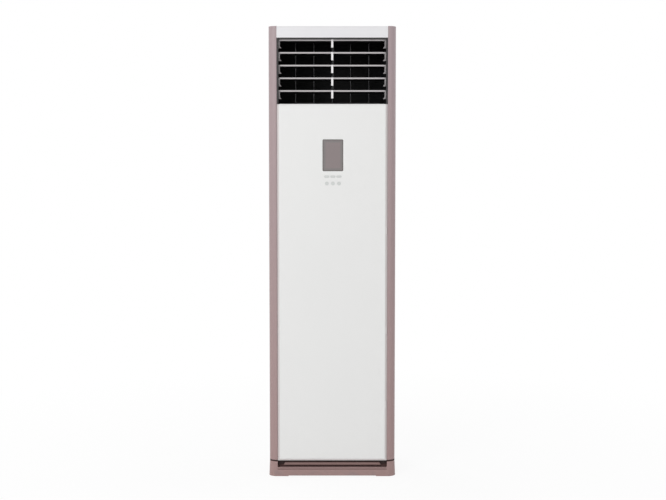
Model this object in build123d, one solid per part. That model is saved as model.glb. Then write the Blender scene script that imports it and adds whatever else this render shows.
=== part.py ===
"""Floor standing air conditioner, indoor unit.

Millimetres, +Z up, front towards -Y, +X to the right seen from the front.
The origin is on the floor under the middle of the cabinet.
Every piece is modelled where it sits when the unit is closed and its blades are level.
"""
from build123d import *
import math
import os

os.makedirs("parts", exist_ok=True)

# ---------------------------------------------------------------- overall cabinet
width = 500.0               # over the two corner columns
depth = 320.0               # plinth front to the back of the wall bracket
height = 1780.0

# ---------------------------------------------------------------- walls and clearances
seat = 0.3                  # where a fixed piece rests on another
reveal = 0.6                # line that shows between two outer pieces
slip = 0.4                  # round a piece that is pulled out by hand
hole_play = 2.0             # radial, round a pipe that passes through sheet
fit = 0.06                  # radial, round a pin that turns
pin_play = 0.3              # radial, round the pins of the two link rods
sheet = 1.2                 # cabinet steel
shell = 2.6                 # moulded outer walls
trim_wall = 3.0             # outlet frame

# ---------------------------------------------------------------- plinth and base pan
plinth_height = 62.2
plinth_flare = 2.5          # wider at the floor, each side and the front
plinth_corner = 28.0        # plan radius of the front corners
plinth_lift = 2.4           # lower edge above the floor between the feet
foot_length = 78.0
kick_height = 35.0          # front bar under the slot
crease_height = 28.5        # groove along the front bar
crease_depth = 1.2
slot_radius = 5.0
slot_depth = 27.0           # plinth front to the plate that closes the slot
ledge_low = 43.5
ledge_high = 52.5
ledge_setback = 12.0
ledge_end = 24.0            # ledge stops this far short of the columns
ledge_slant = 5.0
pan_sheet = 1.6
pan_floor = 6.0             # underside of the pan above the floor
pad_radius = 18.0
pad_inset = 34.0
anchor_radius = 5.5
anchor_spread = 340.0
anchor_reach = 200.0

# ---------------------------------------------------------------- corner columns and panels
column_width = 32.0
column_depth = 46.0
column_radius = 28.0
column_seam = 3.0           # dark line above the plinth
column_flange = 10.0        # strip behind the front panel's edge
rib_pitch = 210.0
side_flange = 22.0
rear_flange = 18.0
cover_flange = 18.0
fascia_height = 50.0        # white band and frame rim over the outlet
fascia_round = 8.0
bead_radius = 3.5           # beads pressed into the inner front
bead_inset = 73.5
bead_margin = 60.0
deck_fold = 14.0
screw_count = 6             # up each edge of the rear panel
screw_margin = 60.0
field_count = 3             # raised fields pressed into the rear panel
field_start = 112.0         # lowest field above the middle of the pipe hole
field_gap = 60.0
field_corner = 20.0
field_rise = 1.6
field_slope = 40.0

# ---------------------------------------------------------------- front panel
panel_wall = 2.0
panel_proud = 1.0           # in front of the columns
panel_return = 12.3
bevel_width = 9.0
bevel_depth = 4.5
panel_corner = 3.0
panel_rib_height = 26.0
panel_rib_depth = 2.0
panel_rib_shares = (0.15, 0.36, 0.64)   # places up the panel
tongue_width = 18.0
tongue_thick = 1.6
tongue_count = 4

# ---------------------------------------------------------------- display and keys
display_x = 2.5
window_width = 80.7
window_height = 123.8
window_drop = 200.5         # panel's top edge to the window's middle
lens_recess = 0.4
window_thick = 2.6
window_corner = 4.0
bezel_width = 4.0
key_pitch = 24.0
key_count = 6
key_row_drop = 83.5         # window's middle to the bar keys
key_row_pitch = 27.0
bar_key_width = 20.0
bar_key_height = 8.0
round_key_radius = 7.0
key_proud = 0.8
key_gap = 0.35
key_travel = 1.0
key_collar = 1.6            # wider than the hole, behind the panel
key_collar_thick = 1.5
key_stem = 2.2
key_edge = 0.5
tray_margin = 12.0
tray_depth = 20.0
board_thick = 1.6
switch_size = 6.0
switch_height = 4.0
plunger_radius = 1.6
plunger_height = 1.0

# ---------------------------------------------------------------- outlet, louvers and vanes
outlet_height = 252.0
outlet_rim = 5.0            # frame that shows above the top louver
rim_width = 6.2             # frame that shows at each side
rim_depth = 10.0
frame_rise = 13.0           # room over the rim for the top louver's nose
frame_length = 131.0        # front to back
louver_count = 5
louver_pitch = 49.45
louver_setback = 11.0       # nose behind the frame's front
louver_chord = 46.0
nose_height = 6.0
nose_depth = 4.0
blade_thick = 1.8
blade_drop = 10.0           # underside of the back edge below the nose's top
pivot_back = 22.0           # pivot behind the nose
pivot_drop = 15.0           # and below its top
pivot_radius = 3.0
arm_height = 34.0
arm_thick = 5.0
arm_toe = 6.5
lug_width = 8.0
lug_height = 32.0
lug_corner = 1.2
lug_thick = 3.0
link_reach = 32.3           # louver's link pin behind the pivot
link_fall = 4.0
link_pin = 2.0
link_thick = 4.0
link_half = 3.5
vane_count = 5
vane_end_gap = 68.5         # last vane to the frame's wall
vane_chord = 46.0
vane_thick = 2.0
vane_axis_back = 103.0      # behind the frame's front
vane_shaft = 2.5
vane_crank = 16.0           # vane axis to its link pin
vane_lift = 14.0            # blade above the frame's floor
tie_thick = 3.0
crank_offset = 36.0         # beyond the last vane
crank_thick = 3.0
motor_can_radius = 14.0
motor_can_height = 20.0
motor_ear_length = 46.0
motor_ear_width = 9.0
motor_ear_thick = 2.0
motor_ear_spread = 37.0
spindle_depth = 8.0         # into the swing motor

# ---------------------------------------------------------------- heat exchanger
coil_side_space = 43.8      # each side, for the return bends and the lines
coil_thick = 44.0
coil_front_gap = 36.2       # middle of the foot behind the inner front
coil_rear_gap = 42.6        # middle of the head before the rear panel
coil_foot_rise = 25.0
coil_headroom = 75.7        # under the outlet frame
fin_pitch = 10.0
fin_groove = 8.4
fin_depth = 20.0
tube_radius = 4.8
tube_rows = 10
bend_radius = 14.0
plate_thick = 1.5
plate_fold = 12.0
deck_height = 720.0
pan_gutter = 30.0           # drain pan height
gutter_wall = 2.2
gutter_depth = 72.4
gutter_side_space = 24.8
cradle_pitch = 150.0
cradle_thick = 4.0
duct_wall = 14.0
duct_curve = 120.0
duct_throat = 30.0          # narrowing at the foot of the channel
duct_throat_rise = 50.0

# ---------------------------------------------------------------- blower
fan_rise = 337.8            # axis above the plinth
inlet_room = 78.2           # inner front to the housing
scroll_wall = 3.0
scroll_right_gap = 3.8      # housing to the right intake's box
scroll_left_gap = 33.8
scroll_step = 26.0          # growth of each quarter of the spiral
throat_left = 40.0
tongue_gap = 22.0           # wheel to the first quarter of the spiral
blade_chord = 26.0
wheel_gap = 7.0             # wheel to the housing's end walls
blade_count = 36
vane_sheet = 1.6
ring_height = 4.0
hub_radius = 22.0
hub_length = 42.0
shaft_radius = 6.0
inlet_overlap = 14.0        # bell mouth inside the blades
inlet_lip = 24.0
inlet_sheet = 2.0
blade_turn = 14.0           # degrees from root to tip
blade_bow = 10.0
wheel_plate = 2.5
wheel_ring = 12.0
motor_radius = 60.0
motor_length = 46.0
motor_round = 8.0
motor_gap = 7.2             # before the rear panel
bracket_thick = 2.0
bracket_radius = 96.0
bracket_window_length = 34.0
bracket_window_width = 14.0
bracket_window_radius = 76.0
bracket_window_count = 6

# ---------------------------------------------------------------- intake at both sides
intake_setback = 18.9       # behind the side panel's front edge
intake_length = 150.0
intake_rise = 67.8          # above the plinth
intake_headroom = 70.0      # under the deck
intake_depth = 16.0
intake_lip = 8.0
grille_depth = 9.0
grille_border = 9.0
slat_pitch = 20.0
slat_thick = 2.4
slat_rise = 12.0            # inner edge over the outer one
mullion = 4.0
filter_depth = 5.0
filter_border = 7.0
filter_cell = 34.0
filter_bar = 2.0
filter_mesh = 0.8

# ---------------------------------------------------------------- controls and pipes
box_side_gap = 5.5          # its ears to the beads of the inner front
box_low = 640.0
box_high = 900.0
box_depth = 38.0
box_ear = 16.0
ear_inset = 30.0
cable_slot = 50.0
cable_slot_inset = 40.0
cable_slot_rim = 8.0
post_height = 6.0
post_radius = 3.0
post_inset = 8.0
board_margin = 18.0
board_foot = 38.0           # board's lower edge above the box floor
part_inset = 15.0           # board's edge to the parts on it
transformer_width = 48.0
transformer_length = 40.0
transformer_height = 22.0
capacitor_radius = 17.0
capacitor_height = 20.0
capacitor_inset = 42.0
relay_width = 19.0
relay_length = 16.0
relay_height = 15.0
relay_pitch = 26.0
relay_count = 4
relay_left = 95.0
relay_drop = 134.0
strip_width = 20.0
strip_height = 12.0
sink_width = 60.0
sink_length = 50.0
sink_drop = 90.0
sink_base = 4.0
sink_height = 18.0
sink_fin = 3.0
sink_fin_pitch = 9.5
sink_fin_count = 7
gas_radius = 7.95
liquid_radius = 4.76
drain_radius = 9.0
pipe_bend = 28.0
gas_side_gap = 11.8         # line's axis to the side panel, past the drain pan
gas_front_gap = 48.2        # and to the inner front
liquid_side_gap = 9.8
liquid_front_gap = 31.2
gas_rise = 85.0             # above the coil's foot
liquid_rise = 30.0
jog_slope = 1.4
line_spread = 14.0
line_rise = 11.0            # above the middle of the pipe hole
drain_fall = 20.0           # and below it
drain_inset = 34.0          # from the drain pan's end
nut_length = 22.0
nut_setback = 4.0
pipe_setback = 30.0         # line ends before the rear panel
grommet_x = 0.0
grommet_rise = 65.8         # middle of the pipe hole above the plinth
grommet_bore = 34.0
grommet_wall = 4.0
grommet_inner_lip = 2.5
grommet_outer_lip = 2.0
grommet_play = 0.1
bracket_sheet = 3.0
bracket_width = 160.0
bracket_height = 60.0
bracket_corner = 8.0
bracket_drop = 120.0        # below the top of the cabinet
wall_hole_radius = 4.0
wall_hole_spread = 110.0
bracket_screw_x = 68.0
screw_head = 4.2
screw_head_height = 2.2
screw_shank = 1.9
screw_length = 8.0
screw_hole = 2.05

# ---------------------------------------------------------------- places worked out from the sizes
half_width = width / 2
front = -depth / 2
back = depth / 2
rear_face = back - bracket_sheet
rear_inside = rear_face - sheet
column_face = front + plinth_flare
column_back = column_face + column_depth
column_inside = half_width - column_width
column_foot = plinth_height + column_seam
outlet_top = height - fascia_height
outlet_bottom = outlet_top - outlet_height
panel_face = column_face - panel_proud
panel_half = column_inside - seat
panel_bottom = plinth_height + seat
panel_top = outlet_bottom
panel_inside = panel_face + panel_wall
panel_edge = panel_face + panel_return
side_inside = half_width - sheet
side_front = column_back + reveal
side_top = height - sheet - seat
bulkhead_front = side_front + sheet + seat
bulkhead_back = bulkhead_front + sheet
bead_x = side_inside - seat - bead_inset
box_right = bead_x - bead_radius - box_side_gap - box_ear
box_left = -box_right
frame_front = column_face + reveal
frame_back = frame_front + frame_length
frame_half = column_inside - reveal
frame_floor = outlet_bottom - trim_wall
frame_ceiling = outlet_top + outlet_rim + frame_rise
nose_y = frame_front + louver_setback
louver_half = frame_half - rim_width - reveal
pivot_y = nose_y + pivot_back
vane_y = frame_front + vane_axis_back
fascia_bottom = outlet_top + outlet_rim + seat
window_centre = panel_top - window_drop
key_row_high = window_centre - key_row_drop
key_row_low = key_row_high - key_row_pitch
frame_inside = frame_half - trim_wall
vane_pitch = 2 * (frame_inside - vane_end_gap) / (vane_count - 1)
bracket_z = height - bracket_drop
intake_front = side_front + intake_setback
intake_back = intake_front + intake_length
intake_low = plinth_height + intake_rise
intake_high = deck_height - intake_headroom
grommet_z = plinth_height + grommet_rise
line_z = grommet_z + line_rise
drain_z = grommet_z - drain_fall
field_low = grommet_z + field_start

# the coil leans from its foot behind the inner front to its head before the rear panel
coil_width = 2 * (side_inside - coil_side_space)
coil_foot_y = bulkhead_back + coil_front_gap
coil_foot_z = deck_height + coil_foot_rise
coil_lean = rear_inside - coil_rear_gap - coil_foot_y
coil_stand = frame_floor - coil_headroom - coil_foot_z
coil_length = math.hypot(coil_lean, coil_stand)
coil_tilt = math.degrees(math.atan2(coil_lean, coil_stand))
coil_place = Location((0, coil_foot_y, coil_foot_z), (-coil_tilt, 0, 0))
coil_top = coil_foot_z + coil_stand + coil_thick / 2 * math.sin(math.radians(coil_tilt))
gutter_half = side_inside - gutter_side_space
gutter_front = bulkhead_back + 2 * seat + sheet
gutter_back = gutter_front + gutter_depth
drain_x = drain_inset - gutter_half
drain_y = coil_foot_y
gas_drop = (side_inside - gas_side_gap, bulkhead_back + gas_front_gap)
liquid_drop = (side_inside - liquid_side_gap, bulkhead_back + liquid_front_gap)
gas_high = coil_foot_z + gas_rise
liquid_high = coil_foot_z + liquid_rise

# the spiral fills the room between the two intake boxes; the wheel follows the spiral
box_inside = half_width - intake_depth - sheet
scroll_right = box_inside - scroll_right_gap - scroll_wall
scroll_left = scroll_left_gap + scroll_wall - box_inside
scroll_radius = (scroll_right - scroll_left - 3 * scroll_step) / 2
fan_x = scroll_left + scroll_radius
fan_z = plinth_height + fan_rise
wheel_radius = scroll_radius - tongue_gap
wheel_inner = wheel_radius - blade_chord
inlet_radius = wheel_inner - inlet_overlap
scroll_front = bulkhead_back + inlet_room
motor_front = rear_inside - motor_gap - motor_length
scroll_back = motor_front - 2 * seat - bracket_thick
wheel_front = scroll_front + scroll_wall + wheel_gap
wheel_back = scroll_back - scroll_wall - wheel_gap
display_back = panel_inside + seat
board_front = display_back + tray_depth - board_thick - shell
plunger_top = board_front - switch_height - plunger_height
pipe_end = rear_inside - pipe_setback


# ---------------------------------------------------------------- helpers
def slab(x, y, z):
    """Block between the low and high value on each axis."""
    spans = (x, y, z)
    middle = [(low + high) / 2 for low, high in spans]
    return Pos(*middle) * Box(*[high - low for low, high in spans])


def rod_x(x, y, z, radius):
    """Round bar along X from x[0] to x[1]."""
    place = Location(((x[0] + x[1]) / 2, y, z), (0, 90, 0))
    return place * Cylinder(radius, x[1] - x[0])


def rod_y(x, y, z, radius):
    """Round bar along Y from y[0] to y[1]."""
    place = Location((x, (y[0] + y[1]) / 2, z), (90, 0, 0))
    return place * Cylinder(radius, y[1] - y[0])


def rod_z(x, y, z, radius):
    """Round bar along Z from z[0] to z[1]."""
    return Pos(x, y, (z[0] + z[1]) / 2) * Cylinder(radius, z[1] - z[0])


def prism_x(face, x):
    """Face drawn in (Y, Z), carried along X."""
    return extrude(Plane.YZ.offset(x[0]) * face, amount=x[1] - x[0], dir=(1, 0, 0))


def prism_y(face, y):
    """Face drawn in (X, Z), carried along Y."""
    return extrude(Plane.XZ.offset(-y[0]) * face, amount=y[1] - y[0], dir=(0, 1, 0))


def prism_z(face, z):
    """Face drawn in (X, Y), carried along Z."""
    return extrude(Pos(0, 0, z[0]) * face, amount=z[1] - z[0], dir=(0, 0, 1))


def polygon(*points):
    return make_face(Polyline(*points, close=True))


def both_sides(shape):
    """A right-hand shape and its mirror image."""
    return shape + mirror(shape, about=Plane.YZ)


def save(name, shape):
    export_step(shape, f"parts/{name}.step")


def save_pair(name, shape):
    """The right-hand piece and its mirror image, each in its own file."""
    save("right_" + name, shape)
    save("left_" + name, mirror(shape, about=Plane.YZ))


# ---------------------------------------------------------------- plinth
def plan_face(half, y_front, y_rear, radius):
    """Plan of the cabinet: round front corners, square rear ones."""
    right = Line((half, y_rear), (half, y_front + radius))
    right_corner = RadiusArc((half, y_front + radius), (half - radius, y_front), radius)
    middle = Line((half - radius, y_front), (radius - half, y_front))
    left_corner = RadiusArc((radius - half, y_front), (-half, y_front + radius), radius)
    left = Line((-half, y_front + radius), (-half, y_rear))
    rear = Line((-half, y_rear), (half, y_rear))
    return make_face(Curve() + [right, right_corner, middle, left_corner, left, rear])


def flared_block(shrink, z_low, z_high):
    """The plinth's tapering outline, drawn in by shrink all round."""
    sections = []
    for z in (z_low, z_high):
        grow = plinth_flare * (1 - z / plinth_height) - shrink
        face = plan_face(half_width + grow, column_face - grow,
                         rear_face - shrink, plinth_corner + grow)
        sections.append(Pos(0, 0, z) * face)
    return loft(sections, ruled=True)


def make_plinth():
    body = flared_block(0, 0, plinth_height)
    body -= flared_block(shell, 0, plinth_height)
    # lower edge lifted between the corner feet, on all four sides
    foot_x = half_width + plinth_flare - foot_length
    foot_y = (front + foot_length, rear_face - foot_length)
    body -= slab((-foot_x, foot_x), (front, back), (0, plinth_lift))
    body -= slab((-width, width), foot_y, (0, plinth_lift))
    # slot between the two corner posts, round at its lower corners
    slot = slab((-column_inside, column_inside), (front, front + slot_depth),
                (kick_height, plinth_height))
    lower_edges = slot.edges().filter_by(Axis.Y).group_by(Axis.Z)[0]
    body -= fillet(lower_edges, slot_radius)
    # box section behind the slot: shelf, closing plate and the posts' inner walls
    plate_y = (front + slot_depth - shell, front + slot_depth)
    inner = column_inside + shell
    body += slab((-inner, inner), plate_y, (plinth_lift, plinth_height))
    shelf = slab((-inner, inner), (column_face + shell / 2, plate_y[1]),
                 (kick_height - shell, kick_height))
    body += shelf
    cheek = slab((column_inside, inner), (column_face + shell / 2, plate_y[1]),
                 (kick_height - shell, plinth_height))
    body += both_sides(cheek)
    # ledge inside the slot with its slanted ends
    end = column_inside - ledge_end
    ledge = polygon((-end, ledge_low), (end, ledge_low),
                    (end - ledge_slant, ledge_high), (ledge_slant - end, ledge_high))
    body += prism_y(ledge, (front + ledge_setback, plate_y[0]))
    # groove along the front bar
    groove_y = front + plinth_flare * crease_height / plinth_height
    groove = rod_x((-column_inside, column_inside), groove_y, crease_height, crease_depth)
    return body - groove


def make_base_pan():
    x = half_width - shell - seat
    y = (front + slot_depth + seat, rear_face - shell - seat)
    z = (pan_floor, plinth_height - seat)
    tray = slab((-x, x), y, z)
    inside = slab((pan_sheet - x, x - pan_sheet),
                  (y[0] + pan_sheet, y[1] - pan_sheet), (z[0] + pan_sheet, z[1] + 1))
    tray -= inside
    for corner in GridLocations(anchor_spread, anchor_reach, 2, 2):
        hole = Pos(0, (y[0] + y[1]) / 2, pan_floor) * corner * Cylinder(anchor_radius, 4 * pan_sheet)
        tray -= hole
    return tray


def make_foot_pads():
    y = (front + slot_depth, rear_face)
    pad = Cylinder(pad_radius, pan_floor - seat, align=(Align.CENTER, Align.CENTER, Align.MIN))
    pad = chamfer(pad.edges().group_by(Axis.Z)[0], 1.0)
    spread_x = 2 * (half_width - pad_inset)
    spread_y = y[1] - y[0] - 2 * pad_inset
    places = Pos(0, (y[0] + y[1]) / 2, 0) * GridLocations(spread_x, spread_y, 2, 2)
    return Compound([place * pad for place in places])


# ---------------------------------------------------------------- outer cabinet
def column_outline(shrink, rear):
    """Plan of the right-hand column: a quarter round from the front to the side."""
    inner = column_inside + shrink
    outer = half_width - shrink
    face = column_face + shrink
    # the inner rounds stop short of the inner wall
    radius = min(column_radius - shrink, outer - inner - reveal)
    lines = [
        Line((inner, rear), (inner, face)),
        Line((inner, face), (outer - radius, face)),
        RadiusArc((outer - radius, face), (outer, face + radius), -radius),
        Line((outer, face + radius), (outer, rear)),
        Line((outer, rear), (inner, rear)),
    ]
    return make_face(Curve() + lines)


def make_column():
    """Hollow moulding, open at the back, with cross ribs and a flange for the front panel."""
    body = prism_z(column_outline(0, column_back), (column_foot, height))
    body -= prism_z(column_outline(shell, column_back + shell), (column_foot + shell, height - shell))
    tall = height - column_foot
    rib_count = int((tall - rib_pitch / 2) / rib_pitch)
    for index in range(rib_count):
        low = column_foot + rib_pitch * (index + 1)
        body += prism_z(column_outline(shell / 2, column_back), (low, low + shell))
    flange_x = (column_inside - column_flange, column_inside + shell / 2)
    flange_y = (panel_edge + seat, panel_edge + seat + shell)
    body += slab(flange_x, flange_y, (column_foot, frame_floor - seat))
    return body


def intake_opening(extra, x):
    """The rectangular way through a side panel, grown by extra."""
    return slab(x, (intake_front - extra, intake_back + extra),
                (intake_low - extra, intake_high + extra))


def rear_screws():
    """Places of the screws up both edges of the rear panel, on the right-hand side."""
    low = plinth_height + screw_margin
    step = (side_top - screw_margin - low) / (screw_count - 1)
    x = half_width - sheet - rear_flange / 2
    return [(x, low + step * index) for index in range(screw_count)]


def make_side_panel():
    """Steel side with folded edges and a folded box that holds grille and filter."""
    z = (plinth_height + seat, side_top)
    y_rear = rear_inside - seat
    body = slab((side_inside, half_width), (side_front, y_rear), z)
    body += slab((half_width - side_flange, half_width), (side_front, side_front + sheet), z)
    body += slab((half_width - rear_flange - sheet, half_width), (y_rear - sheet, y_rear), z)
    box = intake_opening(sheet, (half_width - intake_depth - sheet, half_width))
    body += box
    body -= intake_opening(0, (half_width - intake_depth, half_width))
    body -= intake_opening(-intake_lip, (half_width - intake_depth - sheet, half_width))
    for x, height_of_screw in rear_screws():
        body -= rod_y(x, (y_rear - sheet, y_rear), height_of_screw, screw_hole)
    return body


def pressed(outline, y):
    """Shallow field with sloping edges, raised backwards from the plane at y."""
    return extrude(Plane.XZ.offset(-y) * outline, amount=-field_rise, taper=field_slope)


def make_rear_panel():
    y = (rear_inside, rear_face)
    z = (plinth_height + seat, side_top)
    body = slab((-half_width, half_width), y, z)
    # raised stiffening fields pressed outwards
    field_width = width - 4 * rear_flange
    pitch = (bracket_z - bracket_height - field_low) / field_count
    for index in range(field_count):
        middle = field_low + pitch * (index + 0.5)
        outline = Pos(0, middle) * RectangleRounded(field_width, pitch - field_gap, field_corner)
        body += pressed(outline, rear_face)
        body -= pressed(outline, rear_inside)
    for x, place in rear_screws():
        body -= both_sides(rod_y(x, (y[0], y[1]), place, screw_hole))
    body -= rod_y(grommet_x, (y[0], y[1]), grommet_z, grommet_bore + grommet_wall / 2)
    for side in (-1, 1):
        body -= rod_y(side * bracket_screw_x, (y[0], y[1]), bracket_z, screw_hole)
    return body


def make_top_cover():
    y = (side_front, rear_face)
    body = slab((-half_width, half_width), y, (height - sheet, height))
    inner = side_inside - seat
    rim = slab((-inner, inner), (y[0] + seat, rear_inside - 3 * seat - sheet),
               (height - cover_flange, height - sheet))
    rim -= slab((sheet - inner, inner - sheet),
                (y[0] + seat + sheet, rear_inside - 3 * seat - 2 * sheet),
                (height - cover_flange, height - sheet))
    # the rim is notched where the side panels' folded edges run up
    for place in (y[0], rear_inside - 2 * side_flange):
        rim -= both_sides(slab((half_width - side_flange - seat, half_width),
                               (place, place + 2 * side_flange),
                               (height - cover_flange, height - sheet)))
    return body + rim


def make_top_fascia():
    """White band over the outlet: a moulded nose profile with closed ends."""
    radius = fascia_round
    low, high = fascia_bottom, height
    rear = side_front - seat - reveal
    outer = Curve() + [
        Line((column_face, low), (column_face, high - radius)),
        RadiusArc((column_face, high - radius), (column_face + radius, high), radius),
        Line((column_face + radius, high), (rear, high)),
        Line((rear, high), (rear, low)),
        Line((rear, low), (column_face, low)),
    ]
    inner = Curve() + [
        Line((column_face + shell, low), (column_face + shell, high - radius)),
        RadiusArc((column_face + shell, high - radius), (column_face + radius, high - shell),
                  radius - shell),
        Line((column_face + radius, high - shell), (rear, high - shell)),
        Line((rear, high - shell), (rear, low)),
        Line((rear, low), (column_face + shell, low)),
    ]
    body = prism_x(make_face(outer), (-panel_half, panel_half))
    body -= prism_x(make_face(inner), (shell - panel_half, panel_half - shell))
    # closed ends are cut away over the outlet frame
    return body - slab((-width, width), (panel_edge, rear), (low, frame_ceiling + seat))


def make_bulkhead():
    """Inner steel front that closes the air path behind the front panel, with pressed beads."""
    x = side_inside - seat
    z = (plinth_height + seat, frame_floor - seat)
    body = slab((-x, x), (bulkhead_front, bulkhead_back), z)
    bead = rod_z(bead_x, bulkhead_front, (z[0] + bead_margin, z[1] - bead_margin), bead_radius)
    proud = slab((0, x), (bulkhead_front - 2 * bead_radius, bulkhead_front + sheet / 2), z)
    return body + both_sides(bead & proud)


def make_mid_deck():
    """Steel shelf that carries the heat exchanger and hangs the blower."""
    x = side_inside - seat
    y = (bulkhead_back + seat, rear_inside - 2 * seat - sheet)
    z = (deck_height, deck_height + sheet)
    body = slab((-x, x), y, z)
    body += slab((-x, x), (y[0], y[0] + sheet), (z[0] - deck_fold, z[1]))
    throat = scroll_throat(0)
    body -= slab(throat, (scroll_front + scroll_wall, scroll_back - scroll_wall), z)
    # pipe passages beside the drain pan
    for (x_pipe, y_pipe), radius in ((gas_drop, gas_radius), (liquid_drop, liquid_radius)):
        body -= rod_z(x_pipe, y_pipe, (z[0] - deck_fold, z[1]), radius + hole_play)
    body -= rod_z(drain_x, drain_y, z, drain_radius + hole_play)
    return body


# ---------------------------------------------------------------- front panel, display and keys
def panel_block(shrink):
    """Bevelled block that the panel's outside, and drawn in its inside, follow."""
    mid_z = (panel_bottom + panel_top) / 2
    wide = 2 * (panel_half - shrink)
    tall = panel_top - panel_bottom - 2 * shrink
    face_wide = wide - 2 * bevel_width + shrink
    face_tall = tall - 2 * bevel_width + shrink
    front_y = panel_face + shrink

    def section(w, h, y):
        return Plane.XZ.offset(-y) * Pos(0, mid_z) * RectangleRounded(w, h, panel_corner)

    nose = loft([section(face_wide, face_tall, front_y),
                 section(wide, tall, front_y + bevel_depth)], ruled=True)
    skirt = extrude(section(wide, tall, panel_edge), amount=panel_return - bevel_depth - shrink)
    return nose + skirt


def key_outline(index, grow):
    """Outline of key number index, 0 to 5, in (X, Z): bars above, round ones below."""
    x = display_x + key_pitch * (index % 3 - 1)
    if index < 3:
        wide = bar_key_width + 2 * grow
        tall = bar_key_height + 2 * grow
        return Pos(x, key_row_high) * SlotOverall(wide, tall)
    return Pos(x, key_row_low) * Circle(round_key_radius + grow)


def window_outline(grow):
    corner = max(window_corner + grow, 0.5)
    face = RectangleRounded(window_width + 2 * grow, window_height + 2 * grow, corner)
    return Pos(display_x, window_centre) * face


def make_front_panel():
    body = panel_block(0) - panel_block(panel_wall)
    through = (panel_face - 1, panel_inside + 1)
    body -= prism_y(window_outline(seat), through)
    for index in range(key_count):
        body -= prism_y(key_outline(index, key_gap), through)
    # stiffening ribs across the back
    tall = panel_top - panel_bottom
    for share in panel_rib_shares:
        z = panel_bottom + share * tall
        body += slab((panel_wall - panel_half, panel_half - panel_wall),
                     (panel_inside - panel_wall / 2, panel_inside + panel_rib_depth),
                     (z, z + panel_rib_height))
    # spring tongues that grip the inner edges of the columns' flanges
    x_high = column_inside - column_flange - seat
    for index in range(tongue_count):
        z = panel_bottom + tall * (index + 0.5) / tongue_count
        tongue = slab((x_high - tongue_thick, x_high),
                      (panel_inside - panel_wall / 2, panel_edge + seat + 2 * shell),
                      (z - tongue_width / 2, z + tongue_width / 2))
        body += both_sides(tongue)
    return body


def make_window():
    y = (panel_face + lens_recess, panel_face + lens_recess + window_thick)
    lens = prism_y(window_outline(0), y)
    return chamfer(lens.faces().sort_by(Axis.Y)[0].edges(), 0.5)


def tray_span():
    """Outside of the display housing in X and Z."""
    x = (display_x - window_width / 2 - tray_margin, display_x + window_width / 2 + tray_margin)
    z = (key_row_low - round_key_radius - tray_margin,
         window_centre + window_height / 2 + tray_margin)
    return x, z


def make_housing():
    """Open tray behind the panel, with a light box round the window."""
    x, z = tray_span()
    y = (display_back, display_back + tray_depth)
    body = slab(x, y, z)
    body -= slab((x[0] + shell, x[1] - shell), (y[0], y[1] - shell), (z[0] + shell, z[1] - shell))
    wall_front = panel_face + lens_recess + window_thick + seat
    light_box = prism_y(window_outline(0), (wall_front, board_front - seat))
    light_box -= prism_y(window_outline(-bezel_width), (wall_front, board_front - seat))
    link_y = (board_front - seat - shell, board_front - seat)
    bridge = slab((x[0] + shell / 2, x[1] - shell / 2), link_y,
                  (window_centre - bezel_width, window_centre + bezel_width))
    light_box += bridge - prism_y(window_outline(-bezel_width), link_y)
    return body + light_box


def make_board():
    x, z = tray_span()
    gap = shell + seat
    y = (board_front, board_front + board_thick)
    body = slab((x[0] + gap, x[1] - gap), y, (z[0] + gap, z[1] - gap))
    body += prism_y(window_outline(-bezel_width - shell), (plunger_top, board_front))
    size = switch_size / 2
    for index in range(key_count):
        centre = key_outline(index, 0).center()
        x, z = centre.X, centre.Y
        switch_y = (board_front - switch_height, board_front)
        body += slab((x - size, x + size), switch_y, (z - size, z + size))
        body += rod_y(x, (plunger_top, board_front), z, plunger_radius)
    return body


def make_key(index):
    """Cap with a soft edge, a collar behind the panel and a stem that meets its switch."""
    cap = prism_y(key_outline(index, 0), (panel_face - key_proud, panel_inside + seat))
    cap = fillet(cap.faces().sort_by(Axis.Y)[0].edges(), key_edge)
    collar_front = panel_inside + seat / 2
    collar = prism_y(key_outline(index, key_collar), (collar_front, collar_front + key_collar_thick))
    centre = key_outline(index, 0).center()
    stem = rod_y(centre.X, (collar_front, plunger_top - seat - key_travel), centre.Y, key_stem)
    return cap + collar + stem


# ---------------------------------------------------------------- outlet frame, louvers and vanes
def louver_top(index):
    return outlet_top - louver_pitch * index


def louver_pivot(index):
    return louver_top(index) - pivot_drop


def vane_x(index):
    return vane_pitch * (index - (vane_count - 1) / 2)


crank_x = vane_x(vane_count - 1) + crank_offset


def make_outlet_frame():
    """Moulded box round the outlet; its front rim shows at the top and both sides."""
    behind_panel = panel_edge + seat
    body = slab((-frame_half, frame_half), (behind_panel, frame_back), (frame_floor, frame_ceiling))
    body += slab((-frame_half, frame_half), (frame_front, behind_panel),
                 (outlet_bottom + seat, outlet_top + outlet_rim))
    body -= slab((-frame_inside, frame_inside), (frame_front + rim_depth, frame_back),
                 (outlet_bottom, frame_ceiling - trim_wall))
    opening = frame_half - rim_width
    body -= slab((-opening, opening), (frame_front, frame_front + rim_depth),
                 (outlet_bottom, outlet_top))
    # bearings of louvers and vanes
    for index in range(louver_count):
        body -= rod_x((-frame_half, frame_half), pivot_y, louver_pivot(index), pivot_radius + fit)
    for index in range(vane_count):
        body -= rod_z(vane_x(index), vane_y, (frame_floor, frame_ceiling), vane_shaft + fit)
    body -= rod_z(crank_x, vane_y, (frame_floor, outlet_bottom), vane_shaft + fit)
    return body


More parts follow.
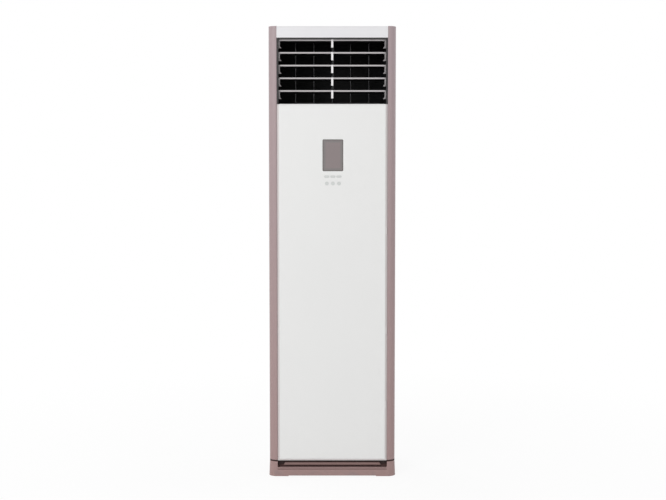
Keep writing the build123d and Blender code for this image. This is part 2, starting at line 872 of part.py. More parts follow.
def make_louver(index):
    """Curved blade with a bright nose, two end arms, a middle rib and the finger lug."""
    top = louver_top(index)
    at = Pos(nose_y, top)
    blade = Curve() + [
        Line((nose_depth, 0), (1.2, 0)),
        ThreePointArc((1.2, 0), (0.35, -0.35), (0, -1.2)),
        Line((0, -1.2), (0, 1.2 - nose_height)),
        ThreePointArc((0, 1.2 - nose_height), (0.35, 0.35 - nose_height), (1.2, -nose_height)),
        ThreePointArc((1.2, -nose_height), (louver_chord / 2, -nose_height - 1.2),
                      (louver_chord, -blade_drop)),
        Line((louver_chord, -blade_drop), (louver_chord, blade_thick - blade_drop)),
        ThreePointArc((louver_chord, blade_thick - blade_drop),
                      (louver_chord / 2, blade_thick - nose_height - 1.0),
                      (nose_depth + 2.5, -nose_height / 2)),
        Line((nose_depth + 2.5, -nose_height / 2), (nose_depth, 0)),
    ]
    body = prism_x(at * make_face(blade), (-louver_half, louver_half))
    arm = Curve() + [
        ThreePointArc((1.0, -nose_height / 2), (1.8, -arm_height * 0.6), (8.0, -arm_height)),
        Line((8.0, -arm_height), (13.0, -arm_height)),
        ThreePointArc((13.0, -arm_height), (18.0, -arm_height * 0.65), (31.0, -blade_drop + 2)),
        Line((31.0, -blade_drop + 2), (1.0, -nose_height / 2)),
    ]
    body += both_sides(prism_x(at * make_face(arm), (louver_half - arm_thick, louver_half)))
    toe = polygon((louver_half - arm_thick + 0.5, top - arm_height),
                  (louver_half - arm_thick - arm_toe, top - arm_height),
                  (louver_half - arm_thick + 0.5, top - arm_height + 9))
    body += both_sides(prism_y(toe, (nose_y + 8, nose_y + 13)))
    pivot = rod_x((louver_half - 1, frame_half - 0.2), pivot_y, louver_pivot(index), pivot_radius)
    body += both_sides(pivot)
    link_y = pivot_back + link_reach
    link_z = -pivot_drop - link_fall
    rib = Curve() + [
        Line((1.5, -nose_height / 2), (1.5, -lug_height + 4)),
        ThreePointArc((1.5, -lug_height + 4), (pivot_back, -pivot_drop - 8),
                      (link_y, link_z - link_half)),
        ThreePointArc((link_y, link_z - link_half), (link_y + link_half, link_z),
                      (link_y, link_z + link_half)),
        Line((link_y, link_z + link_half), (louver_chord - 8, -blade_drop + 2)),
        Line((louver_chord - 8, -blade_drop + 2), (1.5, -nose_height / 2)),
    ]
    body += prism_x(at * make_face(rib), (-1.8, 1.8))
    lug = Pos(0, top - lug_height / 2) * RectangleRounded(lug_width, lug_height, lug_corner)
    lug += Pos(0, top - nose_height) * Rectangle(lug_width, nose_height)
    body += prism_y(lug, (nose_y, nose_y + lug_thick))
    body += rod_x((1.0, 2 + link_thick + 1.5), nose_y + link_y, top + link_z, link_pin)
    return body


def make_louver_link():
    """Upright bar that the five louvers hang on by their pins."""
    y = pivot_y + link_reach
    x = (1.8 + seat, 1.8 + seat + link_thick)
    z_high = louver_pivot(0) - link_fall
    z_low = louver_pivot(louver_count - 1) - link_fall
    body = slab(x, (y - link_half, y + link_half), (z_low, z_high))
    for index in range(louver_count):
        z = louver_pivot(index) - link_fall
        body += rod_x(x, y, z, link_half + 1)
    for index in range(louver_count):
        z = louver_pivot(index) - link_fall
        body -= rod_x(x, y, z, link_pin + pin_play)
    return body


def make_vane(index):
    """Upright blade, thicker at its axis, with a pin at the rear for the tie bar."""
    x = vane_x(index)
    half = vane_chord / 2
    section = Curve() + [
        ThreePointArc((0, -half), (vane_thick, 0), (0, half)),
        ThreePointArc((0, half), (-vane_thick, 0), (0, -half)),
    ]
    blade_z = (outlet_bottom + vane_lift, frame_ceiling - trim_wall - 6)
    body = prism_z(Pos(x, vane_y) * make_face(section), blade_z)
    body &= slab((x - 5, x + 5), (vane_y - half + 0.6, vane_y + half - 0.6), blade_z)
    body += rod_z(x, vane_y, (frame_floor + 0.2, blade_z[0] + 2), vane_shaft)
    body += rod_z(x, vane_y, (blade_z[1] - 2, frame_ceiling - 0.2), vane_shaft)
    foot = slab((x - 3, x + 3), (vane_y - 4, vane_y + vane_crank + 3),
                (blade_z[0] - 2, blade_z[0] + 2))
    body += foot
    pin_low = blade_z[0] - 2 - seat - tie_thick - 1
    body += rod_z(x, vane_y + vane_crank, (pin_low, blade_z[0]), link_pin)
    return body


def tie_height():
    """Lower and upper face of the bar that ties the vanes."""
    top = outlet_bottom + vane_lift - 2 - seat
    return top - tie_thick, top


def make_vane_link():
    z = tie_height()
    y = vane_y + vane_crank
    places = [vane_x(index) for index in range(vane_count)] + [crank_x]
    body = slab((places[0], places[-1]), (y - link_half, y + link_half), z)
    for x in (places[0], places[-1]):
        body += rod_z(x, y, z, link_half)
    for x in places:
        body -= rod_z(x, y, z, link_pin + pin_play)
    return body


def make_swing_crank():
    """Arm of the swing motor with its spindle and drive pin."""
    z_high = tie_height()[0] - seat
    z = (z_high - crank_thick, z_high)
    arm = slab((crank_x - link_half, crank_x + link_half), (vane_y, vane_y + vane_crank), z)
    arm += rod_z(crank_x, vane_y, z, link_half + 1.5)
    arm += rod_z(crank_x, vane_y + vane_crank, z, link_half)
    arm += rod_z(crank_x, vane_y + vane_crank, (z[0], tie_height()[1] + 0.5), link_pin)
    arm += rod_z(crank_x, vane_y, (frame_floor - spindle_depth, z[0] + 1), vane_shaft)
    return arm


def make_swing_motor():
    z = (frame_floor - seat - motor_can_height, frame_floor - seat)
    can = rod_z(crank_x, vane_y, z, motor_can_radius)
    can = chamfer(can.edges().group_by(Axis.Z)[0], 1.0)
    ear_z = (z[1] - motor_ear_thick, z[1])
    ears = prism_z(Pos(crank_x, vane_y) * SlotOverall(motor_ear_length, motor_ear_width), ear_z)
    bore = rod_z(crank_x, vane_y, (frame_floor - spindle_depth - 1, z[1]), vane_shaft + fit)
    body = can + ears - bore
    for side in (-1, 1):
        body -= rod_z(crank_x + side * motor_ear_spread / 2, vane_y, ear_z, screw_hole)
    return body


# ---------------------------------------------------------------- heat exchanger and duct
def make_fins():
    """Fin pack with comb grooves in both faces."""
    pack = Pos(0, 0, coil_length / 2) * Box(coil_width, coil_thick, coil_length)
    count = int(coil_width / fin_pitch) - 1
    grooves = []
    for index in range(count):
        x = fin_pitch * (index - (count - 1) / 2)
        for side in (-1, 1):
            y = side * (coil_thick - fin_depth) / 2
            grooves.append(Pos(x, y, coil_length / 2) * Box(fin_groove, fin_depth, coil_length))
    pack -= grooves
    return coil_place * pack


def tube_height(row):
    return coil_length * (row + 0.5) / tube_rows


def make_tubes():
    """Return bends that join the tubes outside both end plates."""
    edge = coil_width / 2 + plate_thick + seat
    rise = coil_length / tube_rows
    pieces = []
    for row in range(tube_rows - 1):
        side = 1 if row % 2 else -1
        low = tube_height(row)
        out = edge + bend_radius - tube_radius
        path = FilletPolyline((edge, 0, low), (out, 0, low), (out, 0, low + rise), (edge, 0, low + rise),
                              radius=(bend_radius - tube_radius) * 0.9)
        start = Plane(origin=(edge, 0, low), z_dir=(1, 0, 0))
        bend = sweep(start * Circle(tube_radius), path=path)
        if side < 0:
            bend = mirror(bend, about=Plane.YZ)
        pieces.append(coil_place * bend)
    return Compound(pieces)


def make_end_plates():
    """Galvanised plates at both ends of the fin pack, folded along the front edge."""
    x = coil_width / 2 + seat / 2
    plate = slab((x, x + plate_thick), (-coil_thick / 2, coil_thick / 2), (0, coil_length))
    fold = (-coil_thick / 2, plate_thick - coil_thick / 2)
    plate += slab((x, x + plate_fold), fold, (0, coil_length))
    return Compound([coil_place * plate, coil_place * mirror(plate, about=Plane.YZ)])


def make_drain_pan():
    """Gutter under the coil with cradle ribs cut to the coil's slope, and a spigot."""
    x = (-gutter_half, gutter_half)
    y = (gutter_front, gutter_back)
    z = (deck_height + sheet + seat, deck_height + sheet + seat + pan_gutter)
    body = slab(x, y, z)
    body -= slab((x[0] + gutter_wall, x[1] - gutter_wall),
                 (y[0] + gutter_wall, y[1] - gutter_wall), (z[0] + gutter_wall, z[1]))
    coil = Pos(0, 0, coil_length / 2) * Box(3 * coil_width, coil_thick + 2 * seat,
                                            coil_length + 2 * seat)
    for place in (-cradle_pitch, 0, cradle_pitch):
        rib = slab((place - cradle_thick / 2, place + cradle_thick / 2),
                   (y[0] + gutter_wall / 2, y[1] - gutter_wall / 2),
                   (z[0] + gutter_wall / 2, z[1] - cradle_thick))
        body += rib - coil_place * coil
    body -= rod_z(drain_x, drain_y, (z[0], z[0] + gutter_wall), drain_radius - 2)
    return body


def make_duct():
    """Foam block whose curved channel turns the air from the coil to the outlet."""
    x = side_inside - seat
    y = (frame_back + seat, rear_inside - 3 * seat - sheet)
    z = (coil_top + seat, height - cover_flange - seat)
    body = slab((-x, x), y, z)
    rear = y[1] - duct_wall
    ceiling = frame_ceiling - trim_wall
    channel = Curve() + [
        Line((y[0], z[0]), (y[0], ceiling)),
        Line((y[0], ceiling), (rear - duct_curve, ceiling)),
        RadiusArc((rear - duct_curve, ceiling), (rear, ceiling - duct_curve), duct_curve),
        Line((rear, ceiling - duct_curve), (rear, z[0] + duct_throat_rise)),
        Line((rear, z[0] + duct_throat_rise), (rear - duct_throat, z[0])),
        Line((rear - duct_throat, z[0]), (y[0], z[0])),
    ]
    body -= prism_x(make_face(channel), (-frame_inside, frame_inside))
    # rear corners cleared for the side panels' folded edges, and pockets for the screw tips
    notch_y = (rear_face - screw_length - 2 * seat, y[1])
    pocket = rod_y(bracket_screw_x, notch_y, bracket_z, screw_head)
    return body - both_sides(slab((x - rear_flange - seat, x), notch_y, z) + pocket)


# ---------------------------------------------------------------- blower
def scroll_throat(grow):
    """Left and right wall of the upward discharge."""
    return (fan_x - throat_left - grow, fan_x + scroll_radius + 3 * scroll_step + grow)


def scroll_face(grow):
    """Spiral of three quarter arcs that grow by one step each, then the straight discharge."""
    r1 = scroll_radius + grow
    r2 = r1 + scroll_step
    r3 = r2 + scroll_step
    step = scroll_step
    left, right = scroll_throat(grow)
    top = deck_height - seat
    c = Pos(fan_x, fan_z)
    arcs = [
        c * CenterArc((0, 0), r1, 90, 90),
        c * CenterArc((step, 0), r2, 180, 90),
        c * CenterArc((step, step), r3, 270, 90),
    ]
    end = (fan_x + step + r3, fan_z + step)
    return make_face(Curve() + arcs + [
        Line(end, (end[0], top)),
        Line((end[0], top), (left, top)),
        Line((left, top), (fan_x, fan_z + r1)),
    ])


def make_scroll():
    body = prism_y(scroll_face(scroll_wall), (scroll_front, scroll_back))
    body -= prism_y(scroll_face(0), (scroll_front + scroll_wall, scroll_back - scroll_wall))
    mouth = inlet_radius + inlet_sheet + 2 * seat + hole_play / 2
    body -= rod_y(fan_x, (scroll_front, scroll_front + scroll_wall), fan_z, mouth)
    body -= rod_y(fan_x, (scroll_back - scroll_wall, scroll_back), fan_z, hub_radius + 3 * hole_play)
    return body


def make_inlet_ring():
    """Bell mouth turned about the fan's axis."""
    y = scroll_front - seat
    outer = inlet_radius + inlet_lip
    spigot = inlet_radius + inlet_sheet + seat
    profile = Curve() + [
        ThreePointArc((inlet_radius, y + scroll_wall), (inlet_radius + 5, y - inlet_lip * 0.55),
                      (outer, y - inlet_lip)),
        Line((outer, y - inlet_lip), (outer, y - inlet_lip + inlet_sheet)),
        ThreePointArc((outer, y - inlet_lip + inlet_sheet),
                      (inlet_radius + 9, y - inlet_lip * 0.5), (inlet_radius + 5, y - inlet_sheet)),
        Line((inlet_radius + 5, y - inlet_sheet), (outer, y - inlet_sheet)),
        Line((outer, y - inlet_sheet), (outer, y)),
        Line((outer, y), (spigot, y)),
        Line((spigot, y), (spigot, y + scroll_wall)),
        Line((spigot, y + scroll_wall), (inlet_radius, y + scroll_wall)),
    ]
    ring = revolve(make_face(profile), Axis.Y)
    return Pos(fan_x, 0, fan_z) * ring


def make_wheel():
    """Forward curved centrifugal wheel: back plate, blades, front ring and hub."""
    long = wheel_back - wheel_front
    turn = math.radians(blade_turn)
    mean = (wheel_inner + wheel_radius) / 2
    bow = math.radians(blade_bow)

    def point(radius, angle, shift):
        return ((radius + shift) * math.cos(angle), (radius + shift) * math.sin(angle))

    def side(angle):
        return (point(wheel_inner, angle, 0), point(mean, angle + bow, 0),
                point(wheel_radius - 0.5, angle + turn, 0))

    lead = vane_sheet / mean
    a, b, c = side(0)
    d, e, f = side(lead)
    blade = make_face(Curve() + [ThreePointArc(a, b, c), Line(c, f), ThreePointArc(f, e, d), Line(d, a)])
    blades = [Rot(0, 0, 360 / blade_count * index) * blade for index in range(blade_count)]
    body = extrude(Sketch() + blades, amount=long)
    plate = Cylinder(wheel_radius, wheel_plate, align=(Align.CENTER, Align.CENTER, Align.MIN))
    band = Circle(wheel_radius + vane_sheet) - Circle(wheel_radius - wheel_ring)
    ring = prism_z(band, (long - ring_height, long))
    hub = Cylinder(hub_radius, hub_length, align=(Align.CENTER, Align.CENTER, Align.MIN))
    hub = fillet(hub.edges().group_by(Axis.Z)[-1], 3)
    bore = Cylinder(shaft_radius + 0.02, 3 * hub_length)
    body = body + plate + ring + hub - bore
    return Location((fan_x, wheel_back, fan_z), (90, 0, 0)) * body


def make_shaft():
    end = wheel_back - hub_length - 4
    body = rod_y(fan_x, (end, motor_front + motor_length - motor_round - 1), fan_z, shaft_radius)
    return chamfer(body.edges().group_by(Axis.Y)[0], 0.8)


def make_motor():
    """Can with rounded ends, cooling fins' band and a nose round the shaft."""
    r = motor_radius
    long = motor_length
    soft = motor_round
    nose = scroll_wall + wheel_gap - bracket_thick
    bore = shaft_radius + fit
    pocket = long - soft
    profile = Curve() + [
        Line((bore, -nose), (hub_radius, -nose)),
        Line((hub_radius, -nose), (hub_radius, 0)),
        Line((hub_radius, 0), (r - soft, 0)),
        RadiusArc((r - soft, 0), (r, soft), -soft),
        Line((r, soft), (r, long - soft)),
        RadiusArc((r, long - soft), (r - soft, long), -soft),
        Line((r - soft, long), (0, long)),
        Line((0, long), (0, pocket)),
        Line((0, pocket), (bore, pocket)),
        Line((bore, pocket), (bore, -nose)),
    ]
    return Pos(fan_x, motor_front, fan_z) * revolve(make_face(profile), Axis.Y)


def make_motor_bracket():
    """Pressed ring with windows, between the motor and the blower's back wall."""
    ring = Circle(bracket_radius) - Circle(hub_radius + 2)
    window = SlotOverall(bracket_window_length, bracket_window_width)
    ring -= PolarLocations(bracket_window_radius, bracket_window_count) * (Rot(0, 0, 90) * window)
    y = scroll_back + seat
    return prism_y(Pos(fan_x, fan_z) * ring, (y, y + bracket_thick))


# ---------------------------------------------------------------- intake grilles and filters
def make_grille():
    """Moulded frame with slanted slats, flush in the side panel."""
    x = (half_width - grille_depth, half_width)
    body = intake_opening(-slip, x) - intake_opening(-slip - grille_border, x)
    span = (intake_low + slip + grille_border, intake_high - slip - grille_border)
    count = int((span[1] - span[0]) / slat_pitch) - 1
    middle = (span[0] + span[1]) / 2
    low = -slat_rise / 2 - slat_thick / 2
    slat = polygon((x[0] + seat, low + slat_rise), (x[1] - 2 * seat, low),
                   (x[1] - 2 * seat, low + slat_thick), (x[0] + seat, low + slat_rise + slat_thick))
    y = (intake_front + slip + grille_border / 2, intake_back - slip - grille_border / 2)
    for index in range(count):
        z = middle + slat_pitch * (index - (count - 1) / 2)
        body += prism_y(Pos(0, z) * slat, y)
    mid_y = (intake_front + intake_back) / 2
    body += slab((x[0], x[0] + slat_thick), (mid_y - mullion / 2, mid_y + mullion / 2), span)
    return body


def make_filter():
    """Filter frame with its lattice and one mesh layer."""
    x = (half_width - grille_depth - seat - filter_depth, half_width - grille_depth - seat)
    body = intake_opening(-slip, x) - intake_opening(-slip - filter_border, x)
    mesh_x = ((x[0] + x[1] - filter_mesh) / 2, (x[0] + x[1] + filter_mesh) / 2)
    body += intake_opening(-slip - filter_border / 2, mesh_x)
    bar_x = (x[0] + filter_mesh, x[1] - filter_mesh)
    inset = slip + filter_border / 2
    tall = intake_high - intake_low
    count = int(tall / (2 * filter_cell))
    for index in range(1, count):
        z = intake_low + tall * index / count
        body += slab(bar_x, (intake_front + inset, intake_back - inset),
                     (z - filter_bar / 2, z + filter_bar / 2))
    wide = intake_back - intake_front
    columns = int(wide / filter_cell)
    for index in range(1, columns):
        y = intake_front + wide * index / columns
        body += slab(bar_x, (y - filter_bar / 2, y + filter_bar / 2),
                     (intake_low + inset, intake_high - inset))
    return body


# ---------------------------------------------------------------- pipes and pipe hole
def pipe(points, radius):
    """Bent tube along straight runs joined by equal bends."""
    path = FilletPolyline(*points, radius=pipe_bend)
    start = Plane(origin=points[0], z_dir=Vector(*points[1]) - Vector(*points[0]))
    return sweep(start * Circle(radius), path=path)


def flare_nut(x, z, radius):
    nut = RegularPolygon(radius * 1.5, 6) - Circle(radius + 0.1)
    return prism_y(Pos(x, z) * nut, (pipe_end - nut_length, pipe_end - nut_setback))


def coolant_line(drop, high, end_x, end_z, jog_x, radius):
    """From the coil's end plate, down beside the drain pan and under the blower to the rear."""
    x, y = drop
    points = [
        (coil_width / 2 + plate_thick + 2 * seat, y, high),
        (x, y, high),
        (x, y, deck_height - pipe_bend),
        (jog_x, y, deck_height - pipe_bend - jog_slope * (x - jog_x)),
        (jog_x, y, end_z),
        (end_x, y, end_z),
        (end_x, pipe_end, end_z),
    ]
    return pipe(points, radius)


def make_pipes():
    """Gas and liquid line with their nuts at the pipe hole."""
    jog = side_inside - intake_depth - pipe_bend
    gas_x = grommet_x + line_spread
    liquid_x = grommet_x - line_spread
    gas = coolant_line(gas_drop, gas_high, gas_x, line_z, jog, gas_radius)
    liquid = coolant_line(liquid_drop, liquid_high, liquid_x, line_z, jog, liquid_radius)
    return Compound([gas, liquid, flare_nut(gas_x, line_z, gas_radius),
                     flare_nut(liquid_x, line_z, liquid_radius)])


def make_drain_pipe():
    points = [
        (drain_x, drain_y, deck_height + sheet),
        (drain_x, drain_y, drain_z),
        (grommet_x, drain_y, drain_z),
        (grommet_x, pipe_end, drain_z),
    ]
    return pipe(points, drain_radius)


def make_grommet():
    """Rubber ring in the rear panel with a lip on both sides."""
    bore = grommet_bore
    waist = bore + grommet_wall / 2 - 2 * grommet_play
    lip = bore + 2 * grommet_wall
    inner, outer = rear_inside - grommet_play, rear_face + grommet_play
    ends = (inner - grommet_inner_lip, outer + grommet_outer_lip)
    profile = polygon((bore, ends[0]), (lip, ends[0]), (lip, inner), (waist, inner),
                      (waist, outer), (lip, outer), (lip, ends[1]), (bore, ends[1]))
    return Pos(grommet_x, 0, grommet_z) * revolve(profile, Axis.Y)


# ---------------------------------------------------------------- controls
def make_control_box():
    """Steel tray on the bulkhead with fixing ears and a cable slot in its floor."""
    x = (box_left, box_right)
    y = (bulkhead_front - seat - box_depth, bulkhead_front - seat)
    z = (box_low, box_high)
    body = slab(x, y, z)
    body -= slab((x[0] + sheet, x[1] - sheet), (y[0] - 1, y[1] - sheet), (z[0] + sheet, z[1] - sheet))
    ear_z = (z[0] + ear_inset, z[1] - ear_inset)
    for ear in ear_z:
        for side in (x[0] - box_ear / 2, x[1] + box_ear / 2):
            tab = slab((side - box_ear / 2, side + box_ear / 2), (y[1] - sheet, y[1]),
                       (ear - box_ear / 2, ear + box_ear / 2))
            body += tab - rod_y(side, (y[1] - sheet, y[1]), ear, screw_hole)
    slot = slab((x[1] - cable_slot_inset - cable_slot, x[1] - cable_slot_inset),
                (y[0] + cable_slot_rim, y[1] - cable_slot_rim), (z[0], z[0] + sheet))
    return body - slot


def make_control_board():
    """Board on four posts with transformer, capacitor, relays and terminal strip."""
    back_y = bulkhead_front - seat - sheet
    top = back_y - post_height - board_thick
    x = (box_left + board_margin, box_right - board_margin)
    z = (box_low + board_foot, box_high - board_margin)
    body = slab(x, (top, top + board_thick), z)
    middle = Pos((x[0] + x[1]) / 2, (z[0] + z[1]) / 2)
    spread = GridLocations(x[1] - x[0] - 2 * post_inset, z[1] - z[0] - 2 * post_inset, 2, 2)
    for corner in spread:
        post = prism_y(middle * corner * Circle(post_radius), (top + board_thick, back_y))
        body += post

    def mounted(left, wide, low, long, tall):
        """Block that stands tall over the board."""
        return slab((left, left + wide), (top - tall, top), (low, low + long))

    left = x[0] + part_inset
    body += mounted(left, transformer_width, z[1] - part_inset - transformer_length,
                    transformer_length, transformer_height)
    body += rod_y(x[1] - capacitor_inset, (top - capacitor_height, top),
                  z[1] - capacitor_inset, capacitor_radius)
    for index in range(relay_count):
        body += mounted(x[0] + relay_left + relay_pitch * index, relay_width,
                        z[1] - relay_drop - relay_length, relay_length, relay_height)
    body += mounted(left, x[1] - x[0] - 2 * part_inset, z[0] + part_inset, strip_width, strip_height)
    sink_low = z[1] - sink_drop - sink_length
    body += mounted(left, sink_width, sink_low, sink_length, sink_base)
    for index in range(sink_fin_count):
        body += mounted(left + sink_fin_pitch * index, sink_fin, sink_low, sink_length, sink_height)
    return body


# ---------------------------------------------------------------- wall bracket and screws
def make_wall_bracket():
    """Plate on the back that ties the tall cabinet to the wall."""
    plate = RectangleRounded(bracket_width, bracket_height, bracket_corner)
    body = prism_y(Pos(0, bracket_z) * plate, (rear_face, back))
    for side in (-1, 1):
        body -= rod_y(side * wall_hole_spread / 2, (rear_face, back), bracket_z, wall_hole_radius)
        body -= countersunk(side * bracket_screw_x, bracket_z, 0.15)
        body -= rod_y(side * bracket_screw_x, (back - 0.4, back), bracket_z, screw_head + 0.15)
    return body


def countersunk(x, z, play):
    """Flat headed screw, or with some play the hole it lies in."""
    shank = screw_shank + play
    head = screw_head + play
    tip = back - screw_length - bracket_sheet
    face = back - 0.2
    profile = polygon((0, tip), (shank, tip), (shank, face - screw_head_height - play),
                      (head, face - play), (0, face - play))
    return Pos(x, 0, z) * revolve(profile, Axis.Y)


def pan_screw(x, z):
    """Dome headed screw through the rear panel and a side panel's folded edge."""
    base = rear_face + 0.05
    dome = (screw_head ** 2 + screw_head_height ** 2) / (2 * screw_head_height)
    half_angle = math.asin(screw_head / dome) / 2
    crown = base + screw_head_height
    on_dome = (dome * math.sin(half_angle), crown - dome + dome * math.cos(half_angle))
    tip = rear_face - screw_length
    profile = make_face(Curve() + [
        Line((0, tip), (screw_shank, tip)),
        Line((screw_shank, tip), (screw_shank, base)),
        Line((screw_shank, base), (screw_head, base)),
        ThreePointArc((screw_head, base), on_dome, (0, crown)),
        Line((0, crown), (0, tip)),
    ])
    return Pos(x, 0, z) * revolve(profile, Axis.Y)


def make_screws():
    pieces = [pan_screw(side * x, z) for x, z in rear_screws() for side in (-1, 1)]
    pieces += [countersunk(side * bracket_screw_x, bracket_z, 0) for side in (-1, 1)]
    return Compound(pieces)


# ---------------------------------------------------------------- files
save("base_plinth", make_plinth())
save("base_pan", make_base_pan())
save("foot_pads", make_foot_pads())
save_pair("column", make_column())
save_pair("side_panel", make_side_panel())
save("rear_panel", make_rear_panel())
save("top_cover", make_top_cover())
save("top_fascia", make_top_fascia())
save("front_bulkhead", make_bulkhead())
save("mid_deck", make_mid_deck())
save("front_panel", make_front_panel())
save("display_window", make_window())
save("display_housing", make_housing())
save("display_board", make_board())
for number in range(key_count):
    save(f"key_{number + 1}", make_key(number))
save("outlet_frame", make_outlet_frame())
for number in range(louver_count):
    save(f"louver_{number + 1}", make_louver(number))
save("louver_link", make_louver_link())
for number in range(vane_count):
    save(f"vane_{number + 1}", make_vane(number))
save("vane_link", make_vane_link())
save("swing_crank", make_swing_crank())
save("swing_motor", make_swing_motor())
save("outlet_duct", make_duct())
save("coil_fins", make_fins())
save("coil_bends", make_tubes())
save("coil_end_plates", make_end_plates())
save("drain_pan", make_drain_pan())
save("drain_pipe", make_drain_pipe())
save("coolant_pipes", make_pipes())
save("pipe_grommet", make_grommet())
save("blower_housing", make_scroll())
save("inlet_ring", make_inlet_ring())
save("fan_wheel", make_wheel())
save("fan_shaft", make_shaft())
save("fan_motor", make_motor())
save("motor_bracket", make_motor_bracket())
save_pair("intake_grille", make_grille())
save_pair("intake_filter", make_filter())
save("control_box", make_control_box())
save("control_board", make_control_board())
save("wall_bracket", make_wall_bracket())
save("case_screws", make_screws())
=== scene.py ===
import math
import bpy
import numpy as np
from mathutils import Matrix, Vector


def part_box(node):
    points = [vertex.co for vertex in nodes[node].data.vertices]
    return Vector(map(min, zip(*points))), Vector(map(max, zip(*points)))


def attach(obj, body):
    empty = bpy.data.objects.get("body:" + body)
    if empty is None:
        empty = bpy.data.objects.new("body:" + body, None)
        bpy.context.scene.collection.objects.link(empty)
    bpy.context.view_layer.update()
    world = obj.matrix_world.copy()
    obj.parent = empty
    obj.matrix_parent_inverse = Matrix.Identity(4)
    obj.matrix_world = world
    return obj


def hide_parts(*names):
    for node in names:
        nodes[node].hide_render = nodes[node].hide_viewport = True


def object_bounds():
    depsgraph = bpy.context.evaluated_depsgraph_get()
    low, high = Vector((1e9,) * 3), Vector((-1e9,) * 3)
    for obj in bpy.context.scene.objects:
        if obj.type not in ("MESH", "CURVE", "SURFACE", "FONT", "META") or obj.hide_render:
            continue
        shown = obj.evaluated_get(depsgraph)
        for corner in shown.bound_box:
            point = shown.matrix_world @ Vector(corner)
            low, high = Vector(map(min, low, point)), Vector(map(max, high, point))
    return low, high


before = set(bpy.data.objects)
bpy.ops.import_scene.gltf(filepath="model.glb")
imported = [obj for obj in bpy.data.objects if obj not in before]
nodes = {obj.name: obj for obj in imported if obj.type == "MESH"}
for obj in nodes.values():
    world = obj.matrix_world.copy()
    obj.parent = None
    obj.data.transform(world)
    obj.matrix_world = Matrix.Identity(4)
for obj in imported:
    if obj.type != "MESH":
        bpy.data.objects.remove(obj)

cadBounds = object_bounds()
mm = 0.001
print("frame loaded:", len(nodes), "nodes")


# camera: stands in front a little above the middle and looks slightly down
camera = {
    "distance": 4.631,     # from the middle of the unit
    "height": 1.19,
    "aimHeight": 0.895,
    "side": 0.003,
    "lens": 61.4,
    "sensor": 36,
}


def makeCamera():
    data = bpy.data.cameras.new("photoCamera")
    data.lens = camera["lens"]
    data.sensor_width = camera["sensor"]
    eye = bpy.data.objects.new("photoCamera", data)
    bpy.context.scene.collection.objects.link(eye)
    eye.location = (camera["side"], -camera["distance"], camera["height"])
    aim = Vector((camera["side"], 0, camera["aimHeight"]))
    eye.rotation_euler = (aim - eye.location).to_track_quat("-Z", "Y").to_euler()
    bpy.context.scene.camera = eye


# node helpers
def linear(hexColour):
    # sRGB hex to linear RGBA: each channel through the sRGB curve
    channels = [int(hexColour[i:i + 2], 16) / 255 for i in (1, 3, 5)]
    curve = [c / 12.92 if c <= 0.04045 else ((c + 0.055) / 1.055) ** 2.4 for c in channels]
    return (*curve, 1.0)


def setInputs(material, node, inputs):
    # each input takes a number, a hex tone, a socket, or a node, whose first open output is meant
    for name, value in inputs.items():
        if isinstance(value, bpy.types.Node):
            value = next(output for output in value.outputs if output.enabled)
        if isinstance(value, bpy.types.NodeSocket):
            material.node_tree.links.new(value, node.inputs[name])
        else:
            node.inputs[name].default_value = linear(value) if isinstance(value, str) else value


def addNode(material, kind, inputs=None, **settings):
    # one node of that kind with its settings and inputs
    node = material.node_tree.nodes.new("ShaderNode" + kind)
    for name, value in settings.items():
        setattr(node, name, value)
    setInputs(material, node, inputs or {})
    return node


def newMaterial(name):
    # an empty material, its Principled shader and its Object coordinates
    material = bpy.data.materials.new(name)
    material.use_nodes = True
    shader = material.node_tree.nodes["Principled BSDF"]
    return material, shader, addNode(material, "TexCoord").outputs["Object"]


def perMetre(sizeMm):
    # texture scale that makes one feature about sizeMm wide
    return 1000.0 / sizeMm


# patterns that several finishes share
surface = {
    "grainDetail": 2.0,    # octaves in the fine grain
    "patchDetail": 3.0,    # and in the slow drift between two tones
    "roughSpread": 0.05,   # roughness follows the grain this far up and down
}


def addGrain(material, shader, place, grain, roughness):
    # noise as bump, by its width in mm, height in mm and strength, with roughness that follows it
    width, height, strength = grain
    noise = addNode(material, "TexNoise", {"Vector": place, "Scale": perMetre(width),
                                           "Detail": surface["grainDetail"]}).outputs["Fac"]
    bump = addNode(material, "Bump", {"Height": noise, "Strength": strength, "Distance": height * mm})
    spread = addNode(material, "MapRange", {"Value": noise, "To Min": roughness - surface["roughSpread"],
                                            "To Max": roughness + surface["roughSpread"]})
    setInputs(material, shader, {"Normal": bump, "Roughness": spread})


def addLayers(material, tone, layers):
    # tones laid over one another, each as far as its mask says
    for mask, over in layers:
        tone = addNode(material, "Mix", {"Factor": mask, "A": tone, "B": over}, data_type="RGBA")
    return tone


def addTone(material, place, dark, light, patch):
    # colour that drifts between two close tones over patches of that width in mm
    drift = addNode(material, "TexNoise", {"Vector": place, "Scale": perMetre(patch),
                                           "Detail": surface["patchDetail"]})
    return addLayers(material, dark, [(drift.outputs["Fac"], light)])


def addMask(material, ramps):
    # the product of its ramps: each goes from 0 at its start to 1 at its end along a socket
    mask = None
    for along, start, end in ramps:
        ramp = addNode(material, "MapRange", {"Value": along, "From Min": start, "From Max": end})
        mask = ramp if mask is None else addNode(material, "Math", {0: mask, 1: ramp}, operation="MULTIPLY")
    return mask


def band(along, low, high, soft):
    # two ramps for a mask: 1 between low and high, down to 0 over soft at both ends
    return [(along, low - soft, low), (along, high + soft, high)]


def addSides(material, place):
    # the distance from the middle plane, and the Y and Z of each point
    parts = addNode(material, "SeparateXYZ", {"Vector": place}).outputs
    return addNode(material, "Math", {0: parts["X"]}, operation="ABSOLUTE"), parts["Y"], parts["Z"]


